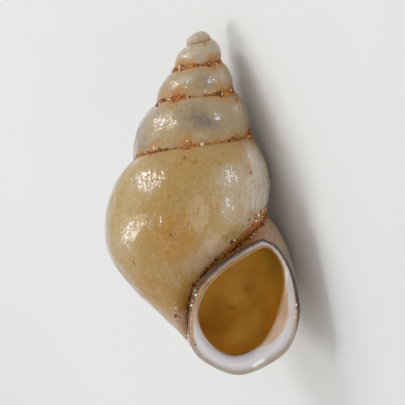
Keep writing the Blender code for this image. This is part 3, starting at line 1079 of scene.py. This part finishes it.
def coat_finish(colours):
    """The outside: glossy, translucent honey, stained, wrinkled and rusty at the seams, with painted
    highlights and painted light in pale patches.
    """
    f = Finish("shell_coat")
    turn, side, seam = f.attribute("turn"), f.attribute("side"), f.attribute("seam")
    milky, glint = f.attribute("milky"), f.attribute("glint")

    def grown(turn_scale, side_scale, detail, roughness=0.5):
        """Noise drawn out along the growth lines."""
        place = f.along(f.times(turn, turn_scale), f.times(side, side_scale), 0.0)
        return f.noise(place, 1.0, detail, roughness)

    broad = f.noise(f.millimetres, 1.6, 3.0, 0.55)
    fine = f.noise(f.millimetres, 9.0, 4.0, 0.6)
    ragged = f.noise(f.millimetres, 26.0, 4.0, 0.65)
    crinkle = f.noise(f.millimetres, 12.0, 2.0, 0.45, 0.4)
    pebbles = f.noise(f.millimetres, 34.0, 2.0, 0.6)
    grit = f.noise(f.millimetres, 60.0, 2.0, 0.6)
    lines = grown(60.0, 1.2, 4.0, 0.6)
    threads = grown(260.0, 2.5, 2.0)
    strokes = grown(120.0, 9.0, 1.0)

    colour = f.blend(f.between(turn, 3.7, 4.5), colours.pale, colours.cream)
    colour = f.tint(
        colour,
        (turn, 3.0, 1.4, 1.0, (0.42, 0.37, 0.28)),
        (broad, 0.30, 0.75, 0.50, (0.45, 0.33, 0.13)),
        (broad, 0.50, 0.30, 0.25, (0.33, 0.19, 0.05)),
    )
    # Paler in the pale patches, partly the shell's own milky colour and partly painted light; the band on
    # the right edge of the last whorl is painted light on its shaded side.
    colour = f.blend(f.times(milky, f.between(fine, 0.3, 0.7, 0.5, 0.95)), colour, (0.53, 0.44, 0.33))
    painted_edge_light = f.times(milky, f.between(turn, 4.54, 4.46), f.between(turn, 4.36, 4.42))
    colour = f.blend(f.times(painted_edge_light, 0.85), colour, (0.66, 0.57, 0.50))
    near_lip = f.between(f.attribute("lip"), 1.0, 0.35, 0.0, 0.8)
    colour = f.blend(f.times(near_lip, f.between(turn, 5.0, 5.35)), colour, (0.48, 0.29, 0.20))
    rosy = f.times(f.attribute("rosy"), f.between(fine, 0.25, 0.6, 0.7, 1.0))
    colour = f.blend(rosy, colour, (0.56, 0.35, 0.24))
    warm = f.times(f.attribute("amber"), f.between(fine, 0.30, 0.55, 0.65, 1.0))
    colour = f.blend(warm, colour, colours.amber)
    grey = f.times(f.attribute("grey"), f.between(fine, 0.3, 0.7, 0.6, 0.95))
    colour = f.tint(
        f.blend(grey, colour, colours.grey),
        (lines, 0.50, 0.75, 0.20, (0.30, 0.19, 0.06)),
        (lines, 0.50, 0.25, 0.14, (0.52, 0.43, 0.28)),
        (threads, 0.50, 0.75, 0.22, (0.26, 0.17, 0.07)),
        (crinkle, 0.50, 0.75, 0.22, (0.56, 0.46, 0.30)),
        (crinkle, 0.48, 0.25, 0.22, (0.28, 0.17, 0.05)),
        (pebbles, 0.50, 0.70, 0.22, (0.58, 0.48, 0.32)),
        (pebbles, 0.50, 0.30, 0.22, (0.22, 0.14, 0.05)),
    )
    # Painted highlight: the colour is whitened and sprinkled with white sparkles in the painted highlight
    # patches.
    sparkle_pattern = f.math("ADD", f.times(strokes, 0.5), f.times(f.noise(f.millimetres, 38.0, 1.0), 0.5))
    sparkle_pattern = f.math("MULTIPLY_ADD", glint, 0.15, sparkle_pattern)
    painted_sparkle = f.times(f.between(sparkle_pattern, 0.65, 0.71), f.between(glint, 0.05, 0.25))
    colour = f.blend(f.times(glint, 0.22), colour, (0.60, 0.54, 0.52))
    colour = f.blend(f.times(painted_sparkle, 0.92), colour, (0.97, 0.93, 0.93))
    uneven = f.swing(grit, 2.6)
    colour = f.blend(f.marks(turn, side, uneven, ORANGE_MARKS), colour, (0.36, 0.15, 0.010))
    colour = f.blend(f.marks(turn, side, uneven, DARK_MARKS), colour, (0.13, 0.040, 0.012))

    rust = f.attribute("rust")
    shift = f.swing(ragged, 0.16)
    reach = f.math("MULTIPLY_ADD", rust, 0.095, 0.014)
    apart = f.math("SUBTRACT", f.math("ADD", seam, shift), reach)
    halo = f.times(f.between(apart, -0.02, 0.17, 0.9, 0.0), f.math("MULTIPLY_ADD", rust, 0.7, 0.3))
    colour = f.blend(halo, colour, (0.42, 0.19, 0.03))
    film = f.times(f.between(apart, -0.03, 0.01, 0.9, 0.0), f.math("MULTIPLY_ADD", rust, 0.6, 0.4))
    rusty = f.blend(f.between(ragged, 0.40, 0.62), colours.rust, (0.16, 0.045, 0.008))
    colour = f.blend(film, colour, rusty)

    crevice = f.math("ADD", f.attribute("crevice"), f.times(shift, 7.0))
    colour = f.blend(f.between(crevice, 0.8, 1.30, 0.30, 0.0), colour, (0.46, 0.20, 0.04))
    dirty = f.blend(f.between(ragged, 0.36, 0.50), (0.10, 0.035, 0.010), (0.50, 0.22, 0.040))
    colour = f.blend(f.between(crevice, 0.5, 0.95, 0.85, 0.0), colour, dirty)

    apart = f.node("TexVoronoi", "Distance", {"Vector": f.millimetres, "Scale": 7.0})
    some = f.math("GREATER_THAN", f.noise(apart.node.outputs["Position"], 3.3, 0.0), 0.62)
    specks = f.times(f.between(apart, 0.04, 0.10, 1.0, 0.0), some)
    colour = f.blend(f.times(specks, 0.6), colour, (0.22, 0.09, 0.02))
    edge = f.math("MULTIPLY_ADD", shift, 0.15, f.attribute("lip"))
    edge = f.math("SUBTRACT", edge, f.attribute("reach"))
    dark = f.times(f.between(edge, -0.010, 0.010, 1.0, 0.0), f.attribute("skin"))
    colour = f.blend(f.times(dark, 0.92), colour, colours.skin)

    amount = f.math("MULTIPLY_ADD", f.math("MAXIMUM", milky, glint), 0.5, 0.5)
    dirt = f.math("MAXIMUM", f.between(seam, 0.02, 0.10, 1.0, 0.0), f.between(crevice, 0.3, 1.0, 1.0, 0.0))
    relief = f.bump(lines, 4e-6, 0.7)
    for height, distance in (
        (f.times(f.noise(f.millimetres, 9.0, 1.0, 0.5, 0.8), amount), 1e-5),
        (f.times(crinkle, amount), 1.4e-5),
        (f.times(strokes, amount), 1.2e-5),
        (pebbles, 2e-6),
        (threads, 2e-6),
        (f.times(grit, f.math("MAXIMUM", dirt, 0.10)), 1.2e-5),
    ):
        relief = f.bump(height, distance, 1.0, relief)
    gloss = f.between(fine, 0.3, 0.7, 0.18, 0.28)
    gloss = f.math("MAXIMUM", gloss, f.times(dirt, 0.5))
    return f.finish(
        base_color=colour, roughness=gloss, normal=relief, ior=1.5, specular_ior_level=0.18,
        subsurface_weight=0.4, subsurface_radius=(1.0, 0.8, 0.45), subsurface_scale=6e-5,
        coat_weight=1.0, coat_roughness=0.04, coat_normal=relief,
        sheen_weight=0.04, sheen_roughness=0.4, sheen_tint=(1.0, 0.93, 0.80),
    )


def lip_finish(colours):
    """The lip: white enamel on its crest, pink and lavender glaze, a dark skin outside, and painted
    highlights on the crest.
    """
    f = Finish("lip_enamel")
    cloud = f.noise(f.millimetres, 5.0, 3.0, 0.55)
    ragged = f.noise(f.millimetres, 26.0, 3.0, 0.6)
    flank = f.blend(f.between(cloud, 0.3, 0.7, 0.0, 0.6), (0.40, 0.34, 0.27), (0.32, 0.22, 0.14))
    tan = f.blend(f.between(cloud, 0.35, 0.65), (0.44, 0.25, 0.09), (0.36, 0.17, 0.04))
    colour = f.blend(f.between(f.attribute("skin"), 0.3, 0.9), flank, tan)
    colour = f.blend(f.attribute("glaze"), colour, colours.lavender)
    around = (("across", 5.0), ("around_x", 1.6), ("around_y", 1.6))
    around = f.along(*(f.times(f.attribute(name), scale) for name, scale in around))
    streaks = f.noise(around, 2.0, 3.0, 0.6)
    white = f.blend(f.between(streaks, 0.38, 0.66), colours.lip, (0.56, 0.54, 0.57))
    colour = f.blend(f.attribute("enamel"), colour, white)
    colour = f.blend(f.times(f.attribute("blush"), 0.95), colour, colours.blush)
    colour = f.blend(f.times(f.attribute("rim"), 0.9), colour, (0.85, 0.68, 0.46))
    # Painted highlight: near-white painted along the crest of the lip.
    colour = f.blend(f.attribute("glint"), colour, (0.95, 0.94, 0.92))
    shift = f.swing(ragged, 0.03)
    edge = f.math("SUBTRACT", f.math("ADD", f.attribute("lip"), shift), f.attribute("reach"))
    dark = f.times(f.between(edge, -0.010, 0.008, 1.0, 0.0), f.attribute("skin"))
    colour = f.blend(f.times(dark, 0.93), colour, colours.skin)
    relief = f.bump(streaks, 1e-5)
    relief = f.bump(f.noise(f.millimetres, 14.0, 1.0), 8e-6, 1.0, relief)
    relief = f.bump(f.times(ragged, dark), 3e-5, 1.0, relief)
    return f.finish(
        base_color=colour, roughness=f.between(cloud, 0.3, 0.7, 0.16, 0.26), normal=relief, ior=1.5,
        subsurface_weight=0.4, subsurface_radius=(1.0, 0.85, 0.7), subsurface_scale=1e-4,
        coat_weight=0.6, coat_roughness=0.06, coat_normal=relief,
    )


def inside_finish(colours):
    """The inside: amber brown, softly mottled, painted lighter deeper in and with a painted glow near the
    outer lip.
    """
    f = Finish("amber_inside")
    cloud = f.noise(f.millimetres, 2.6, 3.0, 0.55)
    fine = f.noise(f.millimetres, 12.0, 3.0, 0.6)
    # Painted light: the inside is painted lighter deeper in, against the shade of the hollow.
    painted_depth_light = f.between(f.attribute("lip"), 0.30, 1.30)
    colour = f.blend(f.times(painted_depth_light, 0.7), colours.inside, (0.66, 0.41, 0.11))
    colour = f.tint(
        colour,
        (cloud, 0.40, 0.65, 0.7, (0.52, 0.27, 0.03)),
        (fine, 0.40, 0.75, 0.3, (0.36, 0.19, 0.03)),
    )
    colour = f.blend(f.attribute("amber"), colour, (0.29, 0.115, 0.007))
    # Painted glow: bright orange light painted inside the opening near the outer lip.
    colour = f.blend(f.attribute("milky"), colour, (1.0, 0.46, 0.08))
    relief = f.bump(fine, 4e-6, 0.5)
    return f.finish(
        base_color=colour, roughness=0.45, normal=relief, ior=1.5, specular_ior_level=0.3,
        subsurface_weight=1.0, subsurface_radius=(1.0, 0.95, 0.7), subsurface_scale=3e-4,
    )


def grain_finish(name, dark, warm, light):
    """Sand and rust grains: a tone for each grain, with a rough, pitted surface."""
    f = Finish(name)
    tone = f.attribute("tone")
    fine = f.noise(f.millimetres, 45.0, 3.0, 0.6)
    layers = ((tone, 0.10, 0.55, 1.0, warm), (tone, 0.70, 0.95, 1.0, light), (fine, 0.4, 0.7, 0.4, dark))
    colour = f.tint(dark, *layers)
    relief = f.bump(f.noise(f.millimetres, 90.0, 2.0, 0.6), 4e-6, 0.8)
    return f.finish(
        base_color=colour, roughness=f.between(tone, 0.6, 1.0, 0.5, 0.12), normal=relief, ior=1.5,
        specular_ior_level=0.35,
    )


# --- shell wall


def build_shell_wall(sizes, colours):
    coat = coat_finish(colours)
    finishes = [coat, coat, lip_finish(colours), inside_finish(colours)]
    shell = closed_object("shell_wall", *body_mesh(sizes.steps_per_turn), finishes)
    rings, slots = mouth_rings()
    mouth = closed_object("mouth_tube", *loft_mesh(rings, slots + [LIP]), finishes)
    rings = hollow_rings()
    hollow = closed_object("hollow_core", *loft_mesh(rings, [INSIDE] * len(rings)), finishes)
    combine(shell, mouth, "UNION")
    combine(shell, hollow, "DIFFERENCE")
    apply_modifiers(shell)
    for helper in (mouth, hollow):
        remove_object(helper)

    mesh = shell.data
    weld(mesh)
    slots = np.empty(len(mesh.polygons), np.int32)
    mesh.polygons.foreach_get("material_index", slots)
    mesh.materials.clear()
    for finish in finishes:
        mesh.materials.append(finish)
    mesh.polygons.foreach_set("material_index", slots)
    points = mesh_points(mesh)
    in_body = slot_vertices(mesh, {BODY})
    in_mouth = slot_vertices(mesh, {MOUTH, LIP}) & ~in_body
    inside = slot_vertices(mesh, {INSIDE})
    turn, side = growth_place(points, in_mouth)
    seam, _ = nearest(points, seam_line())
    edge, _ = mouth_outlines(LIP_POINTS)
    lip, _ = nearest(points, stood(edge, lip_forward(edge) - LIP_ROUND_OUT))
    front = points[:, 1] < 0

    def grown(places):
        return patches(turn, side, places)

    def flat(places):
        return patches(points[:, 0], -points[:, 2], places)

    values = {
        "turn": turn, "side": side, "seam": seam, "lip": lip,
        "crevice": crevice_share(points),
        "rust": rust_at(turn + (side > 0.5)),
        "amber": np.where(
            inside,
            flat(INSIDE_STAINS),
            np.maximum(grown(AMBER_STAINS), flat(FRONT_STAINS) * front),
        ),
        "grey": grown(GREY_PATCHES),
        "rosy": flat(ROSY_PATCHES) * (points[:, 1] < ROSY_REACH),
        # Painted highlights on the lip and on the whorls.
        "glint": np.where(slot_vertices(mesh, {LIP}), flat(LIP_PAINTED_HIGHLIGHTS), grown(PAINTED_HIGHLIGHTS)),
        # Pale patches, partly the shell's own and partly painted light; inside, a painted glow.
        "milky": np.where(
            inside,
            flat(INSIDE_PAINTED_GLOW),
            np.maximum(grown(PALE_AND_PAINTED_LIGHT_PATCHES), flat(FRONT_PALE_AND_PAINTED_LIGHT) * front),
        ),
        **lip_bands(points),
    }
    for name, numbers in values.items():
        add_attribute(mesh, name, numbers)
    outside = (in_body | in_mouth) & ~inside & ~slot_vertices(mesh, {LIP})
    add_relief(mesh, sizes, turn, side, seam, lip, outside)
    mesh.shade_smooth()
    mesh.set_sharp_from_angle(angle=SHARP_EDGE)
    place = rest_place(mesh_points(mesh))
    mesh.transform(place)
    shell["place"] = [value for row in place for value in row]
    return shell


def shell_place():
    """Matrix from the shell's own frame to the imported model's."""
    values = bpy.data.objects["shell_wall"]["place"]
    return Matrix([values[row * 4:row * 4 + 4] for row in range(4)])


class MUDSNAIL_OT_shell_wall(bpy.types.Operator):
    """Builds the hollow shell with its lip and finishes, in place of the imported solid"""

    bl_idname = "mud_snail.shell_wall"
    bl_label = "Build shell wall"

    def execute(self, context):
        shell = build_shell_wall(context.scene.mud_snail_sizes, context.scene.mud_snail_colours)
        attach(shell, "root")
        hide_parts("shell")
        return {"FINISHED"}


# --- grains


# Colours of the grains: dark, warm and light.
SEAM_GRIT_COLOURS = ((0.15, 0.045, 0.008), (0.50, 0.19, 0.022), (0.90, 0.66, 0.42))
LIP_GRIT_COLOURS = ((0.045, 0.016, 0.008), (0.52, 0.17, 0.01), (0.95, 0.86, 0.72))
# Mean and spread of the logarithm of a grain's size, the lightest of the common tones, and the
# share of bright grains.
SEAM_SIZES = (-0.15, 0.50)
SEAM_TONES = 0.75
SEAM_BRIGHT = 0.09
LIP_SIZES = (0.10, 0.50)
LIP_TONES = 0.60
LIP_BRIGHT = 0.05
BRIGHT_TONE = 0.9
# Largest bright grain and largest other one, in middling grains.
LARGEST = (1.5, 2.2)
# A grain's shape: least and most stretch along each axis, and how lumpy it is.
STRETCH = (0.6, 1.35)
LUMPS = 0.13
# Seams: grains lie from the root of EMPTY_START on, as a share of the turns. Then the chance of a
# grain where there is no rust, how far grains drift from a seam in bare and in rusty places, the
# share that lie below it, and how far down or up the whorl a drift takes them.
EMPTY_START = 0.19
STRAY_CHANCE = 0.03
DRIFT = 0.008
RUSTY_DRIFT = 0.085
SHARE_BELOW = 0.45
DRIFT_DOWN = 2.2
FARTHEST_DOWN = 0.9
DRIFT_UP = 0.55
# Groove and lip: tries for each grain, the share of grains in the groove, how thick they lie in
# its lower part and the depths between which they thin out, how far they scatter, and how far
# across the lip they may lie.
TRIES = 3
GROOVE_SHARE = 0.91
LOWER_SHARE = 0.35
LOWER_PART = (3.1, 3.6)
GROOVE_SPREAD = 0.55
GROOVE_ON_LIP = 0.05
CRUMB_SPREAD = 0.08
CRUMBS_ON_LIP = 0.35
CRUMB_SIZE = 0.7
DARK_CRUMBS = 0.55
DARK_CRUMB_TONE = 0.3
# Grains are warmer in the upper part of the groove.
WARMTH = (0.10, 0.22)
WARM_PART = (2.7, 3.2)
# How far in front of the shell's axis the rays start that find its wall.
IN_FRONT = 3.0


def grain_shape():
    """Corners and faces of a small ball that every grain is made from."""
    work = bmesh.new()
    bmesh.ops.create_icosphere(work, subdivisions=2, radius=1.0)
    corners = np.array([tuple(v.co) for v in work.verts])
    faces = np.array([[v.index for v in face.verts] for face in work.faces])
    work.free()
    return corners, faces


def random_turns(rng, count):
    """Random rotation matrices."""
    quaternions = rng.normal(size=(count, 4))
    quaternions /= np.linalg.norm(quaternions, axis=1)[:, None]
    w, x, y, z = quaternions.T
    return np.array([
        [1 - 2 * (y * y + z * z), 2 * (x * y - z * w), 2 * (x * z + y * w)],
        [2 * (x * y + z * w), 1 - 2 * (x * x + z * z), 2 * (y * z - x * w)],
        [2 * (x * z - y * w), 2 * (y * z + x * w), 1 - 2 * (x * x + y * y)],
    ]).transpose(2, 0, 1)


def grains_object(name, places, radii, tones, material, seed):
    """One mesh of lumpy grains at the given places, in the shell's own frame."""
    rng = np.random.default_rng(seed)
    corners, faces = grain_shape()
    count = len(places)
    stretch = rng.uniform(*STRETCH, size=(count, 1, 3))
    lumps = 1 + rng.normal(0, LUMPS, size=(count, len(corners), 1))
    shapes = corners[None] * lumps * stretch * radii[:, None, None]
    shapes = np.einsum("nij,nkj->nki", random_turns(rng, count), shapes) + places[:, None]
    vertices = shapes.reshape(-1, 3) * MM
    all_faces = (faces[None] + len(corners) * np.arange(count)[:, None, None]).reshape(-1, 3)
    mesh = bpy.data.meshes.new(name)
    mesh.from_pydata(vertices.tolist(), [], all_faces.tolist())
    mesh.materials.append(material)
    add_attribute(mesh, "tone", np.repeat(tones, len(corners)))
    mesh.shade_smooth()
    mesh.transform(shell_place())
    return add_object(name, mesh)


def seam_places(rng, count):
    """Places in and beside the seams, thicker in some stretches than in others."""
    places = []
    while len(places) < count:
        turn = TURNS * math.sqrt(rng.uniform(EMPTY_START, 1.0))
        thick = float(rust_at(turn))
        if rng.uniform() > STRAY_CHANCE + (1 - STRAY_CHANCE) * thick:
            continue
        drift = abs(rng.normal(0, DRIFT + RUSTY_DRIFT * thick * rng.uniform()))
        if rng.uniform() < SHARE_BELOW:
            flat = upper_profile(turn, np.array([min(drift * DRIFT_DOWN, FARTHEST_DOWN)]))[0]
        else:
            share = lower_share_at(turn - 1.0, float(suture_depth(turn)))
            flat = lower_profile(turn - 1.0, np.array([max(share - drift * DRIFT_UP, 0.0)]))[0]
        places.append(turned(flat, azimuth(turn)))
    return np.array(places)


class MUDSNAIL_OT_seam_grains(bpy.types.Operator):
    """Scatters grains of sand and rust in the seams between the whorls"""

    bl_idname = "mud_snail.seam_grains"
    bl_label = "Scatter seam grains"

    def execute(self, context):
        sizes = context.scene.mud_snail_sizes
        rng = np.random.default_rng(11)
        places = seam_places(rng, sizes.seam_grains)
        radii = sizes.grain_radius / MM * rng.lognormal(*SEAM_SIZES, len(places))
        tones = rng.uniform(0, SEAM_TONES, len(places))
        tones[rng.uniform(size=len(tones)) < SEAM_BRIGHT] = 1.0
        material = grain_finish("seam_grit", *SEAM_GRIT_COLOURS)
        grains = grains_object("seam_grains", places, radii, tones, material, 12)
        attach(grains, "root")
        return {"FINISHED"}


def seen_on_front(tree, place, flat):
    """The front-most point of the shell's wall at a place given as across and depth."""
    start = place @ (Vector((flat[0], -IN_FRONT, -flat[1])) * MM)
    hit, _, _, _ = tree.ray_cast(start, place.to_3x3() @ Vector((0.0, 1.0, 0.0)))
    return None if hit is None else np.array(place.inverted() @ hit) / MM


def on_front(flats, most_share, count):
    """The first count of the flat places whose front-most points lie off the lip's enamel."""
    place = shell_place()
    tree = BVHTree.FromObject(bpy.data.objects["shell_wall"], bpy.context.evaluated_depsgraph_get())
    points = [seen_on_front(tree, place, flat) for flat in flats]
    points = np.array([point for point in points if point is not None])
    return points[lip_place(points)[0] < most_share][:count]


def groove_places(rng, count):
    """Places along the groove, off the lip's own enamel."""
    line, width = groove_line()
    above = soft_step(-line[:, 1], -LOWER_PART[1], -LOWER_PART[0])
    weight = width * (LOWER_SHARE + (1 - LOWER_SHARE) * above)
    picked = rng.choice(len(line), TRIES * count, p=weight / weight.sum())
    flats = line[picked] + rng.normal(0, GROOVE_SPREAD, (len(picked), 2)) * width[picked, None]
    return on_front(flats, GROOVE_ON_LIP, count)


def crumb_places(rng, count):
    across, depth, width = np.array(CRUMBS)[rng.integers(len(CRUMBS), size=TRIES * count)].T
    across = across + rng.normal(0, 1, len(width)) * width
    depth = depth + rng.normal(0, CRUMB_SPREAD, len(width))
    return on_front(np.stack([across, depth], axis=-1), CRUMBS_ON_LIP, count)


class MUDSNAIL_OT_lip_grains(bpy.types.Operator):
    """Packs dark grains in the groove between the body and the inner lip"""

    bl_idname = "mud_snail.lip_grains"
    bl_label = "Scatter lip grains"

    def execute(self, context):
        sizes = context.scene.mud_snail_sizes
        rng = np.random.default_rng(21)
        places = groove_places(rng, round(GROOVE_SHARE * sizes.lip_grains))
        crumbs = crumb_places(rng, sizes.lip_grains - len(places))
        above = soft_step(places[:, 2], -WARM_PART[1], -WARM_PART[0])
        tones = rng.uniform(0, LIP_TONES, len(places)) + (WARMTH[0] + WARMTH[1] * above)
        dark = rng.uniform(size=len(crumbs)) < DARK_CRUMBS
        tones = np.concatenate([tones, np.where(dark, DARK_CRUMB_TONE, 1.0)])
        tones[rng.uniform(size=len(tones)) < LIP_BRIGHT] = 1.0
        places = np.concatenate([places, crumbs])
        radii = sizes.grain_radius / MM * rng.lognormal(*LIP_SIZES, len(places))
        radii[-len(crumbs):] *= CRUMB_SIZE
        most = np.where(tones > BRIGHT_TONE, *LARGEST)
        radii = np.minimum(radii, most * sizes.grain_radius / MM)
        material = grain_finish("lip_grit", *LIP_GRIT_COLOURS)
        grains = grains_object("lip_grains", places, radii, tones, material, 22)
        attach(grains, "root")
        return {"FINISHED"}


# --- stage

LOOK_AT = (0.126, 0.0, -2.518)
LEAN = math.radians(2.7)
LENS = 500.0
SENSOR = 36.0
FLOOR_SIZE = 1.2
LAMP_DISTANCE = 0.045
# Nearest and farthest that the camera sees, in shares of its distance.
SIGHT = (0.05, 40)
FLOOR_CLOUD = 0.97


def view_axes():
    """Right, up and towards the camera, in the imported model's frame."""
    turn = rest_turn().to_3x3()
    right = turn @ Vector((math.cos(LEAN), 0.0, math.sin(LEAN)))
    up = turn @ Vector((-math.sin(LEAN), 0.0, math.cos(LEAN)))
    return right, up, right.cross(up)


def lamp_at(name, aim, towards, along, size, power):
    """A rectangular lamp on one side of the aim, its long side as near to along as can be."""
    data = bpy.data.lights.new(name, "AREA")
    data.shape = "RECTANGLE"
    data.size, data.size_y = size
    data.energy = power
    lamp = add_object(name, data)
    lamp.location = aim + towards * LAMP_DISTANCE
    short = towards.cross(along).normalized()
    axes = Matrix((short.cross(towards), short, towards)).transposed()
    lamp.rotation_mode = "QUATERNION"
    lamp.rotation_quaternion = axes.to_quaternion()


class MUDSNAIL_OT_stage(bpy.types.Operator):
    """Lays the floor and sets the lamps, the sky and the camera"""

    bl_idname = "mud_snail.stage"
    bl_label = "Set stage"

    def execute(self, context):
        settings = context.scene.mud_snail_stage
        self.lay_floor(settings)
        self.set_sky(settings)
        self.set_lamps(settings)
        self.set_camera(settings)
        context.scene.view_settings.view_transform = "Standard"
        return {"FINISHED"}

    def lay_floor(self, settings):
        mesh = bpy.data.meshes.new("floor")
        half = FLOOR_SIZE / 2
        corners = [(-half, -half, 0), (half, -half, 0), (half, half, 0), (-half, half, 0)]
        mesh.from_pydata(corners, [], [(0, 1, 2, 3)])
        floor = add_object("floor", mesh)
        f = Finish("floor_paper")
        cloud = f.noise(f.millimetres, 0.15, 3.0, 0.5)
        tint = tuple(settings.floor_colour)
        colour = f.blend(f.between(cloud, 0.3, 0.7), tint, tuple(FLOOR_CLOUD * c for c in tint))
        mesh.materials.append(f.finish(base_color=colour, roughness=0.9, specular_ior_level=0.1))

    def set_sky(self, settings):
        world = bpy.data.worlds.new("sky")
        world.use_nodes = True
        background = world.node_tree.nodes["Background"]
        background.inputs["Color"].default_value = (1.0, 1.0, 1.0, 1.0)
        background.inputs["Strength"].default_value = settings.sky
        bpy.context.scene.world = world

    def set_lamps(self, settings):
        low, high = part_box("shell")
        middle = (Vector(low) + Vector(high)) / 2
        axes = Matrix(view_axes()).transposed()
        lamps = (
            ("key_lamp", (-0.84, 0.53, 0.10), (0.0, 0.0, 1.0), (0.024, 0.0034), settings.key),
            ("side_lamp", (-0.96, -0.25, 0.12), (0.11, -0.34, -0.93), (0.026, 0.0032), settings.side),
            ("fill_lamp", (0.36, -0.25, 0.90), (0.0, 1.0, 0.0), (0.044, 0.030), settings.fill),
        )
        for name, towards, along, size, power in lamps:
            towards = (axes @ Vector(towards)).normalized()
            lamp_at(name, middle, towards, axes @ Vector(along), size, power)

    def set_camera(self, settings):
        right, up, back = view_axes()
        data = bpy.data.cameras.new("camera")
        data.lens = LENS
        data.sensor_width = SENSOR
        camera = add_object("camera", data)
        away = settings.view_width * LENS / SENSOR
        target = shell_place() @ (Vector(LOOK_AT) * MM)
        camera.rotation_mode = "QUATERNION"
        axes = Matrix((right, up, back)).transposed()
        camera.rotation_quaternion = axes.to_quaternion()
        camera.location = target + back * away
        data.clip_start = away * SIGHT[0]
        data.clip_end = away * SIGHT[1]
        bpy.context.scene.camera = camera


class MUDSNAIL_PT_panel(bpy.types.Panel):
    """Lists the steps and the values that a user may change"""

    bl_idname = "MUDSNAIL_PT_panel"
    bl_label = "Mud snail shell"
    bl_space_type = "VIEW_3D"
    bl_region_type = "UI"
    bl_category = "Mud snail shell"

    def draw(self, context):
        for group in ("mud_snail_sizes", "mud_snail_colours", "mud_snail_stage"):
            box = self.layout.box()
            settings = getattr(context.scene, group)
            for name in settings.bl_rna.properties.keys():
                if name not in ("rna_type", "name"):
                    box.prop(settings, name)
        for operator in OPERATORS:
            self.layout.operator(operator.bl_idname)


OPERATORS = (
    MUDSNAIL_OT_shell_wall,
    MUDSNAIL_OT_seam_grains,
    MUDSNAIL_OT_lip_grains,
    MUDSNAIL_OT_stage,
)
CLASSES = (ShellSizes, ShellColours, StageSettings, *OPERATORS, MUDSNAIL_PT_panel)


def register():
    for cls in CLASSES:
        bpy.utils.register_class(cls)
    bpy.types.Scene.mud_snail_sizes = PointerProperty(type=ShellSizes)
    bpy.types.Scene.mud_snail_colours = PointerProperty(type=ShellColours)
    bpy.types.Scene.mud_snail_stage = PointerProperty(type=StageSettings)


def unregister():
    del bpy.types.Scene.mud_snail_stage
    del bpy.types.Scene.mud_snail_colours
    del bpy.types.Scene.mud_snail_sizes
    for cls in reversed(CLASSES):
        bpy.utils.unregister_class(cls)


def main():
    register()
    bpy.ops.mud_snail.shell_wall()
    bpy.ops.mud_snail.seam_grains()
    bpy.ops.mud_snail.lip_grains()
    bpy.ops.mud_snail.stage()


if __name__ == "__main__":
    main()
